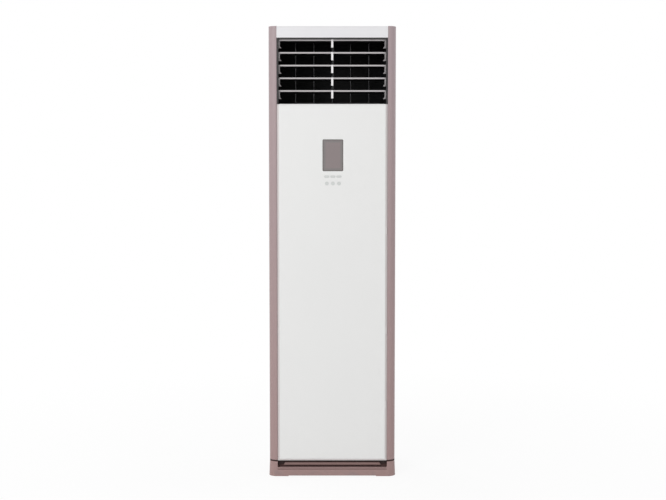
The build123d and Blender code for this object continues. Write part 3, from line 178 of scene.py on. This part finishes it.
# finishes of one tone: what each real material is, and what its making gives the eye
finishes = {
    # name: dark tone, light tone, patch mm, (grain mm, height mm, strength), roughness;
    # each grain is drawn several times as coarse as the real one, so that it shows
    # ABS from a polished mould: even, with a soft sheen
    "satinWhiteMouldedAbs": ("#E6E5E8", "#ECEBED", 300, (6, 0.02, 0.15), 0.36),
    # ABS from a fine matt mould: duller, so that fingers leave no mark
    "paleKeyAbs": ("#D2D5D3", "#D9DBD9", 40, (4, 0.02, 0.15), 0.45),
    # baked powder coat on sheet steel: faint orange peel
    "offWhitePowderCoatSteel": ("#DBDAD7", "#E1E0DD", 500, (7, 0.05, 0.3), 0.5),
    # ABS from an etched mould: nearly matt, hides the dust
    "darkMouldedAbs": ("#282526", "#312D2E", 60, (5, 0.04, 0.3), 0.55),
    # unpainted acetal: waxy
    "blackAcetalLink": ("#101010", "#161617", 30, (4, 0.03, 0.3), 0.45),
    # inner ABS, never painted: flat grey
    "greyMouldedAbs": ("#6B6C6E", "#757678", 80, (5, 0.05, 0.3), 0.55),
    # ABS from an etched mould: an even, slightly rough white
    "grilleMouldedAbs": ("#D8D7D4", "#DEDDDA", 120, (4, 0.06, 0.35), 0.5),
    # moulded ABS, bluish black and matt
    "filterFrameAbs": ("#2C3136", "#343A3F", 60, (4, 0.05, 0.3), 0.55),
    # extruded polypropylene threads: dull grey
    "netPolypropylene": ("#7C868C", "#8C969C", 40, (3, 0.02, 0.2), 0.6),
    # extruded PVC: even, a little waxy
    "drainPvc": ("#BDBDB8", "#C6C6C1", 60, (6, 0.05, 0.3), 0.45),
    # sprayed enamel on a pressed can: some gloss over orange peel
    "motorEnamel": ("#2A2B2E", "#34353A", 60, (5, 0.06, 0.35), 0.4),
    # pressed rubber: matt
    "footRubber": ("#18181A", "#222224", 20, (3, 0.1, 0.5), 0.8),
    # foamed polyethylene: cells show as soft dimples
    "expandedFoam": ("#0C0C0D", "#19191A", 9, (6, 0.6, 0.6), 0.95),
}


def makePlainFinish(name):
    # two close tones and an even grain
    dark, light, patch, grain, roughness = finishes[name]
    material, shader, place = newMaterial(name)
    setInputs(material, shader, {"Base Color": addTone(material, place, dark, light, patch)})
    addGrain(material, shader, place, grain, roughness)
    return material


roseAbs = {
    "litHighTone": "#AE9EA1",     # painted light: near the top the paint is drawn lighter and mauve
    "shadedLowTone": "#A68B89",      # painted shade: near the floor it is drawn darker and rose
    "baseTone": "#A58884",     # the base, moulded apart from the columns, is redder
    "patchTone": "#A18D8D",
    "patch": 420,
    "patchShare": 0.3,         # how far the patches' tone shows
    "scuffTone": "#968383",    # dulled by shoes and mops over the floor
    "scuffHeight": 38,
    "scuff": 26,               # width of one rub
    "scuffDetail": 6.0,
    "scuffNoise": (0.5, 0.7),  # clean under the first, dull over the second
    "seamTone": "#4A3331",     # shade in the joint of column and base
    "seamHalf": 2.5,
    "seamSoft": 1.2,
    "grain": (9, 0.05, 0.25),
    "roughness": 0.42,
    "specular": 0.3,           # the satin lacquer mirrors less than bare plastic at its round edge
}

baseSlotShade = {
    "tone": "#37221F",         # painted shade inside the slot over the kick bar
    "underLedgeShadeTone": "#543B38",    # and lighter painted shade under its ledge
    # painted shade on the ledge inside the slot
    "ledgeShadeTone": "#8C726E",
    "face": 5.0,               # the slot starts this far behind the front of the base
    "depth": 29.0,             # and ends here
    "half": 218.0,             # half its width
    "low": 35.3,               # its lower edge over the floor
    "ledge": (43.2, 52.8),     # the ledge between its lower and upper edge
    "ledgeHalf": 193.7,        # at its lower edge
    "ledgeSlant": 0.55,        # narrower by this share of the rise
    "crease": 28.5,            # groove along the kick bar
    # painted shade in that groove
    "creaseShadeTone": "#755D5A",
    "creaseHalf": 1.6,
    "soft": 0.4,               # ramp at every edge
    "depthSoft": 1.0,          # and at the front and the back of the slot
}


def addBaseSlotShade(material, tone, side, depth, rise):
    # painted shade: the slot is dark above and below its ledge, the ledge is a little darker than the base,
    # and a dark line runs along the kick bar's crease
    front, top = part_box("base_plinth")[0][1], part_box("base_plinth")[1][2]
    soft, depthSoft = baseSlotShade["soft"] * mm, baseSlotShade["depthSoft"] * mm
    face, back = front + baseSlotShade["face"] * mm, front + baseSlotShade["depth"] * mm
    half, low, high = (size * mm for size in (baseSlotShade["half"], *baseSlotShade["ledge"]))
    groove, grooveHalf = baseSlotShade["crease"] * mm, baseSlotShade["creaseHalf"] * mm
    within = [(side, half + soft, half)]
    # painted shade along the kick bar's crease
    crease = addMask(material, band(rise, groove - grooveHalf, groove + grooveHalf, soft) + within
                     + [(depth, face + depthSoft, face)])
    slot = addMask(material, band(depth, face + depthSoft, back, depthSoft)
                   + band(rise, baseSlotShade["low"] * mm, top, soft) + within)
    # the ledge ends where the distance from the middle plus the slant's share of the rise gets to end
    slant = baseSlotShade["ledgeSlant"]
    reach = addNode(material, "Math", {0: rise, 1: slant, 2: side}, operation="MULTIPLY_ADD")
    end = baseSlotShade["ledgeHalf"] * mm + slant * low
    ledge = addMask(material, band(rise, low, high, soft) + [(reach, end + soft, end)])
    under = addMask(material, [(rise, low + soft, low)])
    # painted shade inside the slot, lighter under the ledge and on the ledge
    inside = addLayers(material, baseSlotShade["tone"], [(under, baseSlotShade["underLedgeShadeTone"]),
                                                    (ledge, baseSlotShade["ledgeShadeTone"])])
    return addLayers(material, tone, [(crease, baseSlotShade["creaseShadeTone"]), (slot, inside)])


def makeRoseAbs(name, isBase):
    # painted moulding, satin, with painted shade that turns it darker and warmer from top to floor; dull
    # where it is knocked
    material, shader, place = newMaterial(name)
    side, depth, rise = addSides(material, place)
    patches = addNode(material, "TexNoise", {"Vector": place, "Scale": perMetre(roseAbs["patch"]),
                                             "Detail": surface["patchDetail"]}).outputs["Fac"]
    share = addNode(material, "Math", {0: patches, 1: roseAbs["patchShare"]}, operation="MULTIPLY")
    rubs = addNode(material, "TexNoise", {"Vector": place, "Scale": perMetre(roseAbs["scuff"]),
                                          "Detail": roseAbs["scuffDetail"]}).outputs["Fac"]
    worn = addMask(material, [(rise, roseAbs["scuffHeight"] * mm, 0.0), (rubs, *roseAbs["scuffNoise"])])
    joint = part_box("base_plinth")[1][2]
    half = roseAbs["seamHalf"] * mm
    seam = addMask(material, band(rise, joint - half, joint + half, roseAbs["seamSoft"] * mm))
    # painted light and shade: from the darker low tone at the floor to the lighter high tone at the top
    paintedLightUpward = addMask(material, [(rise, 0.0, cadBounds[1][2])])
    tone = addLayers(material, roseAbs["baseTone"] if isBase else roseAbs["shadedLowTone"],
                     [(paintedLightUpward, roseAbs["litHighTone"]), (share, roseAbs["patchTone"]),
                      (worn, roseAbs["scuffTone"]), (seam, roseAbs["seamTone"])])
    if isBase:
        tone = addBaseSlotShade(material, tone, side, depth, rise)
    setInputs(material, shader, {"Base Color": tone, "Specular IOR Level": roseAbs["specular"]})
    addGrain(material, shader, place, roseAbs["grain"], roseAbs["roughness"])
    return material


panelPaint = {
    "tone": "#EFEFEE",
    "patchTone": "#EBEBEA",
    "patch": 600,
    "bevelShadeTone": "#D7D2D1",     # painted shade: greyer on the bevelled edge strips
    "trimWidth": 9.0,
    "trimSoft": 0.4,
    "footWidth": 7.5,          # and on the one at the foot
    "footSoft": 3.0,
    "grain": (8, 0.03, 0.15),
    "roughness": 0.42,
}


def makePanelPaint():
    # powder coat on sheet steel: faint orange peel, and painted shade on the bevels at sides and foot
    material, shader, place = newMaterial("whitePowderCoatSteel")
    side, _, rise = addSides(material, place)
    low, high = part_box("front_panel")
    edge = high[0] - panelPaint["trimWidth"] * mm
    foot = low[2] + panelPaint["footWidth"] * mm
    strips = addMask(material, [(side, edge, edge + panelPaint["trimSoft"] * mm)])
    footBevelShade = addMask(material, [(rise, foot, foot - panelPaint["footSoft"] * mm)])
    trim = addNode(material, "Math", {0: strips, 1: footBevelShade}, operation="MAXIMUM")
    tone = addTone(material, place, panelPaint["patchTone"], panelPaint["tone"], panelPaint["patch"])
    # painted shade over the bevels at the sides and the foot
    tone = addLayers(material, tone, [(trim, panelPaint["bevelShadeTone"])])
    setInputs(material, shader, {"Base Color": tone})
    addGrain(material, shader, place, panelPaint["grain"], panelPaint["roughness"])
    return material


spangledZinc = {
    "crystal": 14,             # width of one
    "darkTone": "#9EA3A6",
    "lightTone": "#BFC4C6",
    "roughness": (0.28, 0.5),  # each has its own between these
}


def makeSpangledZinc():
    # hot dipped galvanised sheet: flat crystals that each reflect a little differently
    material, shader, place = newMaterial("spangledZincSheet")
    crystal = addNode(material, "TexVoronoi", {"Vector": place,
                                               "Scale": perMetre(spangledZinc["crystal"])}).outputs["Color"]
    smooth, rough = spangledZinc["roughness"]
    spread = addNode(material, "MapRange", {"Value": crystal, "To Min": smooth, "To Max": rough})
    tone = addLayers(material, spangledZinc["darkTone"], [(crystal, spangledZinc["lightTone"])])
    setInputs(material, shader, {"Base Color": tone, "Roughness": spread, "Metallic": 1.0})
    return material


drawnMetals = {
    # name: dark tone, light tone, streak mm, roughness
    # ground round bar: bright, with fine streaks
    "groundSteelShaft": ("#9A9B9D", "#B2B3B5", 12, 0.25),
    # tube drawn through a die, then tarnished in air: warm patches
    "drawnCopperTube": ("#A8623F", "#C77F58", 24, 0.32),
    # cold headed and zinc plated: pale, a little dull
    "zincPlatedScrew": ("#B4B3AC", "#C9C8C2", 12, 0.35),
}

drawnStreak = {
    "squeeze": (0.1, 1.0, 1.0),    # streaks are ten times as long along X as across
    "grainShare": 0.25,            # the bump's width as a share of the streak's
    "grainHeight": 0.03,
    "grainStrength": 0.3,
}


def makeDrawnMetal(name):
    # drawn or rolled metal with fine streaks along X and patches of tarnish
    dark, light, streak, roughness = drawnMetals[name]
    material, shader, place = newMaterial(name)
    along = addNode(material, "Mapping", {"Vector": place, "Scale": drawnStreak["squeeze"]})
    tone = addTone(material, along, dark, light, streak)
    setInputs(material, shader, {"Base Color": tone, "Metallic": 1.0})
    grain = (streak * drawnStreak["grainShare"], drawnStreak["grainHeight"], drawnStreak["grainStrength"])
    addGrain(material, shader, along, grain, roughness)
    return material


lens = {
    "border": 4.0,             # darker printed band round the window
    "darkTone": "#625C5A",
    "midTone": "#7B7574",
    "innerTone": "#857979",    # the display's field behind the lens, slightly warmer
    "innerBorder": 12.0,
    "soft": 1.5,
    "roughness": 0.16,
    "coat": 0.6,
    "coatRoughness": 0.05,
}


def makeTintedLens():
    # screen printed acrylic lens: grey field with a darker band at its edge, polished
    material, shader, place = newMaterial("tintedAcrylicLens")
    low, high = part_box("display_window")
    parts = addNode(material, "SeparateXYZ", {"Vector": place}).outputs
    gaps = []
    for axis, name in ((0, "X"), (2, "Z")):
        # distance to the nearer edge: half the width less the distance from the middle
        middle, half = (low[axis] + high[axis]) / 2, (high[axis] - low[axis]) / 2
        offset = addNode(material, "Math", {0: parts[name], 1: middle}, operation="SUBTRACT")
        away = addNode(material, "Math", {0: offset}, operation="ABSOLUTE")
        gaps.append(addNode(material, "Math", {0: half, 1: away}, operation="SUBTRACT"))
    gap = addNode(material, "Math", {0: gaps[0], 1: gaps[1]}, operation="MINIMUM")
    layers = []
    for border, tone in (("innerBorder", "midTone"), ("border", "darkTone")):
        inner, outer = lens[border] * mm, (lens[border] - lens["soft"]) * mm
        layers.append((addMask(material, [(gap, inner, outer)]), lens[tone]))
    setInputs(material, shader, {"Base Color": addLayers(material, lens["innerTone"], layers),
                                 "Roughness": lens["roughness"], "Coat Weight": lens["coat"],
                                 "Coat Roughness": lens["coatRoughness"]})
    return material


louver = {
    "count": 5,
    "noseTone": "#BEBABB",
    "lugTone": "#F0EEEF",
    # painted shade: the end arms greyer and the blade black behind the nose
    "armShadeTone": "#A09C9D",
    "bladeShadeTone": "#161617",
    "noseDepth": 5.0,          # bright part, from the front back
    "noseSoft": 0.6,
    "armWidth": 5.2,           # bright end arms, from the end in
    "armSoft": 0.4,
    "toeWidth": 12.5,          # with their toes
    "toeDepth": (7.6, 13.4),
    "toeSoft": 0.2,
    "lugHalf": 4.2,
    "lugSoft": 0.3,
    "endGap": 7.1,             # from the panel's edge in to the louvers' ends
    "grain": (5, 0.03, 0.2),
    "roughness": 0.4,
}


def makeLouverFinish():
    # one pale satin moulding: nose, lug and end arms; painted shade makes the blade black behind the nose
    # and the end arms greyer
    material, shader, place = newMaterial("paleLouverAbs")
    side, depth, _ = addSides(material, place)
    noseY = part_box("louver_1")[0][1]
    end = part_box("front_panel")[1][0] - louver["endGap"] * mm
    behind = noseY + louver["noseDepth"] * mm
    near, far = (noseY + reach * mm for reach in louver["toeDepth"])
    arm, toe, lug = end - louver["armWidth"] * mm, end - louver["toeWidth"] * mm, louver["lugHalf"] * mm
    noseSoft, armSoft, toeSoft, lugSoft = (louver[key] * mm for key in
                                           ("noseSoft", "armSoft", "toeSoft", "lugSoft"))
    tone = addLayers(material, louver["noseTone"], [
        (addMask(material, [(side, lug, lug - lugSoft)]), louver["lugTone"]),
        # painted shade on the blade, behind the nose and between the end arms
        (addMask(material, [(depth, behind, behind + noseSoft), (side, arm, arm - armSoft)]),
         louver["bladeShadeTone"]),
        (addMask(material, [(side, arm - armSoft, arm)]), louver["armShadeTone"]),
        (addMask(material, band(depth, near, far, toeSoft) + [(side, toe - armSoft, toe)]),
         louver["armShadeTone"]),
    ])
    setInputs(material, shader, {"Base Color": tone})
    addGrain(material, shader, place, louver["grain"], louver["roughness"])
    return material


vane = {
    "count": 5,
    "darkTone": "#2C2C2D",
    "lightTone": "#373739",
    "patch": 50,
    "edgeTone": "#97979A",     # painted highlight on the front edge
    "edgeDepth": 12.0,         # and fades out this far back
    "grain": (5, 0.04, 0.3),
    "roughness": 0.42,
}


def makeVaneFinish():
    # black moulding, satin, with a painted highlight along the edge that meets the room
    material, shader, place = newMaterial("blackMouldedAbs")
    depth = addNode(material, "SeparateXYZ", {"Vector": place}).outputs["Y"]
    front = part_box("vane_1")[0][1]
    # painted highlight, fading out back from the front edge
    edgeHighlight = addMask(material, [(depth, front + vane["edgeDepth"] * mm, front)])
    tone = addTone(material, place, vane["darkTone"], vane["lightTone"], vane["patch"])
    setInputs(material, shader, {"Base Color": addLayers(material, tone, [(edgeHighlight, vane["edgeTone"])])})
    addGrain(material, shader, place, vane["grain"], vane["roughness"])
    return material


circuitBoard = {
    "cell": 6,             # real tracks are finer; drawn coarser so that they show
    "maskTone": "#1B5B34",
    "trackTone": "#2E7A4B",
    "grain": (3, 0.05, 0.3),
    "roughness": 0.35,
}

controlBoard = {
    "face": 7.7,           # from the board's fixing posts to just ahead of its face
    "edge": 0.5,           # the tones reach this far past each part
    "soft": 0.2,
    "parts": {
        # from the board's left and its upper edge, width, height, tone
        "transformer": (15, 15, 48, 40, "#3A342E"),
        "capacitor": (205, 25, 34, 34, "#1F2530"),
        "heatSink": (15, 90, 60, 50, "#A3A7AA"),
        "relays": (95, 134, 97, 16, "#1B1C1E"),
        "terminalStrip": (15, 169, 234, 20, "#C8CBC2"),
    },
}


def addControlParts(material, place, tone):
    # every part that stands ahead of the board has its own tone inside its rectangle
    low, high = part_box("control_board")
    axes = addNode(material, "SeparateXYZ", {"Vector": place}).outputs
    edge, soft = controlBoard["edge"], controlBoard["soft"] * mm
    face = high[1] - controlBoard["face"] * mm
    layers = []
    for left, drop, wide, tall, partTone in controlBoard["parts"].values():
        across = band(axes["X"], low[0] + (left - edge) * mm, low[0] + (left + wide + edge) * mm, soft)
        up = band(axes["Z"], high[2] - (drop + tall + edge) * mm, high[2] - (drop - edge) * mm, soft)
        layers.append((addMask(material, across + up + [(axes["Y"], face, face - soft)]), partTone))
    return addLayers(material, tone, layers)


def makeCircuitBoard(name, hasParts):
    # green solder mask over tracks: square cells in two close greens
    material, shader, place = newMaterial(name)
    cells = addNode(material, "TexVoronoi", {"Vector": place, "Scale": perMetre(circuitBoard["cell"])},
                    distance="MANHATTAN").outputs["Distance"]
    tone = addLayers(material, circuitBoard["maskTone"], [(cells, circuitBoard["trackTone"])])
    if hasParts:
        tone = addControlParts(material, place, tone)
    setInputs(material, shader, {"Base Color": tone})
    addGrain(material, shader, place, circuitBoard["grain"], circuitBoard["roughness"])
    return material


finStack = {
    "pitch": 4.0,          # real fins stand 1.6 mm apart; drawn coarser so that they show
    "depth": 0.4,
    # painted shade in the gaps between the fins
    "gapShadeTone": "#8E9296",
    "edgeTone": "#D2D5D8",
    "strength": 0.6,
    "roughness": 0.4,
    "waveTurns": 20 / (2 * math.pi),   # the wave makes this many turns per unit of its scale
}


def makeFinAluminium():
    # stacked aluminium fins: upright bright edges with painted shade in the gaps, as a wave across X
    material, shader, place = newMaterial("rolledFinAluminium")
    scale = perMetre(finStack["pitch"]) / finStack["waveTurns"]
    wave = addNode(material, "TexWave", {"Vector": place, "Scale": scale, "Distortion": 0.0},
                   bands_direction="X").outputs["Fac"]
    bump = addNode(material, "Bump", {"Height": wave, "Strength": finStack["strength"],
                                      "Distance": finStack["depth"] * mm})
    tone = addLayers(material, finStack["gapShadeTone"], [(wave, finStack["edgeTone"])])
    setInputs(material, shader, {"Base Color": tone, "Normal": bump, "Metallic": 1.0,
                                 "Roughness": finStack["roughness"]})
    return material


wearing = {
    "satinWhiteMouldedAbs": ["top_fascia"],
    "paleKeyAbs": ["key_1", "key_2", "key_3", "key_4", "key_5", "key_6"],
    "offWhitePowderCoatSteel": ["left_side_panel", "right_side_panel", "top_cover", "rear_panel",
                                "wall_bracket"],
    "darkMouldedAbs": ["outlet_frame"],
    "blackAcetalLink": ["louver_link", "vane_link", "swing_crank"],
    "greyMouldedAbs": ["display_housing", "drain_pan", "inlet_ring", "fan_wheel", "blower_housing"],
    "grilleMouldedAbs": ["left_intake_grille", "right_intake_grille"],
    "filterFrameAbs": ["left_intake_filter", "right_intake_filter"],
    "drainPvc": ["drain_pipe"],
    "motorEnamel": ["fan_motor", "swing_motor"],
    "footRubber": ["foot_pads", "pipe_grommet"],
    "expandedFoam": ["outlet_duct"],
}


def dress(material, names):
    for name in names:
        nodes[name].data.materials.clear()
        nodes[name].data.materials.append(material)


def dressAll():
    for finish, names in wearing.items():
        dress(makePlainFinish(finish), names)
    dress(makeRoseAbs("satinPaintedRoseAbs", False), ["left_column", "right_column"])
    dress(makeRoseAbs("satinPaintedBaseAbs", True), ["base_plinth"])
    dress(makePanelPaint(), ["front_panel"])
    dress(makeTintedLens(), ["display_window"])
    dress(makeLouverFinish(), [f"louver_{i + 1}" for i in range(louver["count"])])
    dress(makeVaneFinish(), [f"vane_{i + 1}" for i in range(vane["count"])])
    dress(makeCircuitBoard("solderMaskBoard", False), ["display_board"])
    dress(makeCircuitBoard("solderMaskControlBoard", True), ["control_board"])
    dress(makeSpangledZinc(), ["base_pan", "front_bulkhead", "mid_deck", "coil_end_plates",
                               "control_box", "motor_bracket"])
    dress(makeDrawnMetal("groundSteelShaft"), ["fan_shaft"])
    dress(makeFinAluminium(), ["coil_fins"])
    dress(makeDrawnMetal("drawnCopperTube"), ["coil_bends", "coolant_pipes"])


# surfaces worked out with numpy
def gridFaces(rows, columns):
    # quads over a grid of points whose columns close into a ring
    row, column = np.meshgrid(np.arange(rows - 1), np.arange(columns), indexing="ij")
    beside = (column + 1) % columns
    quads = [row * columns + column, row * columns + beside,
             (row + 1) * columns + beside, (row + 1) * columns + column]
    return np.stack(quads, -1).reshape(-1, 4)


def makeMesh(name, points, faces, material, body, creaseDegrees=None):
    # a piece on that body; with creaseDegrees it is shaded smooth between sharper edges
    mesh = bpy.data.meshes.new(name)
    mesh.from_pydata(points.reshape(-1, 3).tolist(), [], [list(face) for face in faces])
    mesh.validate()
    mesh.materials.append(material)
    if creaseDegrees is not None:
        mesh.polygons.foreach_set("use_smooth", np.ones(len(mesh.polygons), bool))
        mesh.set_sharp_from_angle(angle=math.radians(creaseDegrees))
    piece = bpy.data.objects.new(name, mesh)
    bpy.context.scene.collection.objects.link(piece)
    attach(piece, body)
    return piece


screw = {
    "rings": 22,           # over the head
    "spokes": 64,
    "crown": 2.2,          # height of the dome over the head's rim
    "shank": 0.45,         # its radius as a share of the head's
    "crossHalf": 0.55,     # half width of the recess's arms
    "crossReach": 2.3,
    "crossDepth": 1.3,
    "crossSoft": 0.3,      # width of the recess's walls
    "apart": 12,           # points nearer to an axis than this belong to its screw
    "crease": 30,
}


def screwPlaces():
    # lowest and highest corner of each screw: the points round one axis along Y belong together
    mesh = nodes["case_screws"].data
    flat = np.empty(len(mesh.vertices) * 3)
    mesh.vertices.foreach_get("co", flat)
    rest = flat.reshape(-1, 3)
    places = []
    while len(rest):
        near = np.hypot(*(rest[:, [0, 2]] - rest[0, [0, 2]]).T) < screw["apart"] * mm
        places.append((rest[near].min(0), rest[near].max(0)))
        rest = rest[~near]
    return places


def screwSurface(low, high):
    # a profile turned about Y: the head's dome is the cap of a sphere through its rim and crown,
    # less a cross that sinks where a point lies inside one of its two arms; the seat, the shank
    # and its tip follow, and one point closes each end
    head, middle = (high[0] - low[0]) / 2, (low + high) / 2
    crown, depth = screw["crown"] * mm, screw["crossDepth"] * mm
    rimY = high[1] - crown
    ball = (head ** 2 + crown ** 2) / (2 * crown)
    reach = np.linspace(0, 1, screw["rings"] + 1)[1:] * head
    turn = np.linspace(0, 2 * np.pi, screw["spokes"], endpoint=False)
    radius, angle = np.meshgrid(reach, turn, indexing="ij")
    across, up = np.abs(radius * np.cos(angle)), np.abs(radius * np.sin(angle))
    half, arm = screw["crossHalf"] * mm, screw["crossReach"] * mm
    away = np.minimum(np.maximum(across - half, up - arm), np.maximum(up - half, across - arm))
    sunk = depth * np.clip(0.5 - away / (screw["crossSoft"] * mm), 0, 1)
    rise = np.sqrt(ball ** 2 - radius ** 2) - (ball - crown) - sunk
    # two more rings: the shank at the seat and at its tip
    shank = np.full((2, len(turn)), screw["shank"] * head)
    fall = np.array([[0.0], [low[1] - rimY]]) + 0 * turn
    radius, rise, angle = np.vstack([radius, shank]), np.vstack([rise, fall]), np.vstack([angle, turn, turn])
    points = np.stack([middle[0] + radius * np.cos(angle), rimY + rise,
                       middle[2] + radius * np.sin(angle)], -1)
    poles = np.array([[middle[0], high[1] - depth, middle[2]], [middle[0], low[1], middle[2]]])
    rows, columns = radius.shape
    around = np.arange(columns)
    first, last = rows * columns, rows * columns + 1
    crowns = [(first, (i + 1) % columns, i) for i in around]
    tips = [(last, (rows - 1) * columns + i, (rows - 1) * columns + (i + 1) % columns) for i in around]
    faces = [tuple(face) for face in gridFaces(rows, columns)] + crowns + tips
    return np.vstack([points.reshape(-1, 3), poles]), faces


def makeScrews():
    # zinc plated pan heads with a cross recess, at the place of each plain one
    material = makeDrawnMetal("zincPlatedScrew")
    points, faces, count = [], [], 0
    for low, high in screwPlaces():
        more, around = screwSurface(low, high)
        points.append(more)
        faces += [tuple(count + i for i in face) for face in around]
        count += len(more)
    piece = makeMesh("crossHeadScrews", np.vstack(points), faces, material, "cabinet",
                     screw["crease"])
    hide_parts("case_screws")
    print("screws:", len(points))


net = {
    "pitch": 3.0,          # the real net has threads 1 mm apart; drawn coarser so that it shows
    "thread": 0.5,
    "border": 7.0,
    "lift": 0.45,          # outside the filter's middle plane
}


def threadPoints(start, end, width):
    # four sided threads from start to end: a square section carried along each line
    along = (end - start) / np.linalg.norm(end - start, axis=-1, keepdims=True)
    side = np.array([1.0, 0.0, 0.0]) * width / 2
    other = np.cross(along, [1.0, 0.0, 0.0]) * width / 2
    ring = np.stack([side + other, side - other, -side - other, -side + other], -2)
    return np.stack([start[:, None] + ring, end[:, None] + ring], 1)


def makeNet(side, material):
    # two layers of straight threads, upright ones outside the level ones
    low, high = (np.array(corner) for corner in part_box(side + "_intake_filter"))
    way = -1 if side == "left" else 1
    middle = (low[0] + high[0]) / 2 + way * net["lift"] * mm
    low, high = low + net["border"] * mm, high - net["border"] * mm
    pitch, width = net["pitch"] * mm, net["thread"] * mm
    depths = np.arange(low[1], high[1], pitch)
    rises = np.arange(low[2], high[2], pitch)
    level = middle + 0 * rises
    upright = middle + way * width + 0 * depths
    threads = np.concatenate([
        threadPoints(np.stack([level, low[1] + 0 * rises, rises], -1),
                     np.stack([level, high[1] + 0 * rises, rises], -1), width),
        threadPoints(np.stack([upright, depths, low[2] + 0 * depths], -1),
                     np.stack([upright, depths, high[2] + 0 * depths], -1), width)])
    # six walls to a thread, by the numbers of its corners
    walls = np.array([(0, 4, 5, 1), (1, 5, 6, 2), (2, 6, 7, 3), (3, 7, 4, 0), (0, 1, 2, 3), (7, 6, 5, 4)])
    corners = threads.shape[1] * threads.shape[2]
    faces = (walls[None] + corners * np.arange(len(threads))[:, None, None]).reshape(-1, 4)
    makeMesh(side + "FilterNet", threads, faces, material, side + "_intake")
    return len(threads)


def makeNets():
    material = makePlainFinish("netPolypropylene")
    print("net threads:", sum(makeNet(side, material) for side in ("left", "right")))


# studio: white floor and surroundings, soft lamps
studio = {
    "floorSize": 24.0,
    "floorTone": "#F4F4F4",
    "floorRoughness": 0.9,
    "skyTone": "#FFFFFF",
    "skyLight": 0.60,
    "nearGlow": 0.90,      # how much of the floor the eye sees as plain white near the unit
    "nearReach": 0.6,
    "farReach": 2.4,       # past this it is all plain white
}

lamps = {
    # name: place, aim, size, watts
    "keyLamp": ((-2.6, -4.2, 3.0), (0, 0, 1.0), 2.4, 88),
    "fillLamp": ((3.0, -3.2, 3.3), (0, 0, 1.4), 2.0, 3),
    "rearLamp": ((-2.4, 3.6, 3.2), (0, 0, 1.0), 2.0, 46),
    "sideLamp": ((4.4, 1.5, 2.2), (0, 0, 0.9), 2.0, 18),
}


def addSeenRays(material):
    # 1 where the camera, a reflection or a view through glass looks at it
    rays = addNode(material, "LightPath").outputs
    seen = rays["Is Camera Ray"]
    for kind in ("Is Glossy Ray", "Is Transmission Ray"):
        seen = addNode(material, "Math", {0: seen, 1: rays[kind]}, operation="MAXIMUM")
    return seen


def makeFloor():
    # a flat square, wide enough to reach the horizon in every view
    reach = studio["floorSize"] / 2
    corners = [(-reach, -reach, 0), (reach, -reach, 0), (reach, reach, 0), (-reach, reach, 0)]
    mesh = bpy.data.meshes.new("studioFloor")
    mesh.from_pydata(corners, [], [(0, 1, 2, 3)])
    floor = bpy.data.objects.new("studioFloor", mesh)
    bpy.context.scene.collection.objects.link(floor)
    material, shader, place = newMaterial("paleStudioFloor")
    setInputs(material, shader, {"Base Color": studio["floorTone"], "Roughness": studio["floorRoughness"]})
    # the eye sees the floor white, and keeps the shadow near the unit
    glow = addNode(material, "Emission", {"Color": studio["skyTone"], "Strength": 1.0})
    far = addNode(material, "VectorMath", {0: place}, operation="LENGTH").outputs["Value"]
    share = addNode(material, "MapRange", {"Value": far, "From Min": studio["nearReach"],
                                           "From Max": studio["farReach"],
                                           "To Min": studio["nearGlow"], "To Max": 1.0})
    seen = addNode(material, "Math", {0: addSeenRays(material), 1: share}, operation="MULTIPLY")
    blend = addNode(material, "MixShader", {0: seen, 1: shader, 2: glow})
    setInputs(material, material.node_tree.nodes["Material Output"], {"Surface": blend})
    mesh.materials.append(material)


def makeSky():
    # soft white light, and plain white where the camera or a reflection looks at it
    world = bpy.data.worlds.new("studioWorld")
    world.use_nodes = True
    bpy.context.scene.world = world
    level = addNode(world, "MapRange", {"Value": addSeenRays(world), "To Min": studio["skyLight"],
                                        "To Max": 1.0})
    setInputs(world, world.node_tree.nodes["Background"], {"Color": studio["skyTone"], "Strength": level})


def makeLamps():
    for name, (place, aim, size, watts) in lamps.items():
        data = bpy.data.lights.new(name, "AREA")
        data.shape = "DISK"
        data.size = size
        data.energy = watts
        lamp = bpy.data.objects.new(name, data)
        bpy.context.scene.collection.objects.link(lamp)
        lamp.location = place
        lamp.rotation_euler = (Vector(aim) - Vector(place)).to_track_quat("-Z", "Y").to_euler()


makeCamera()
dressAll()
print("finishes on all nodes")
makeScrews()
makeNets()
makeFloor()
makeSky()
makeLamps()
bpy.context.scene.view_settings.view_transform = "Standard"
print("studio ready")
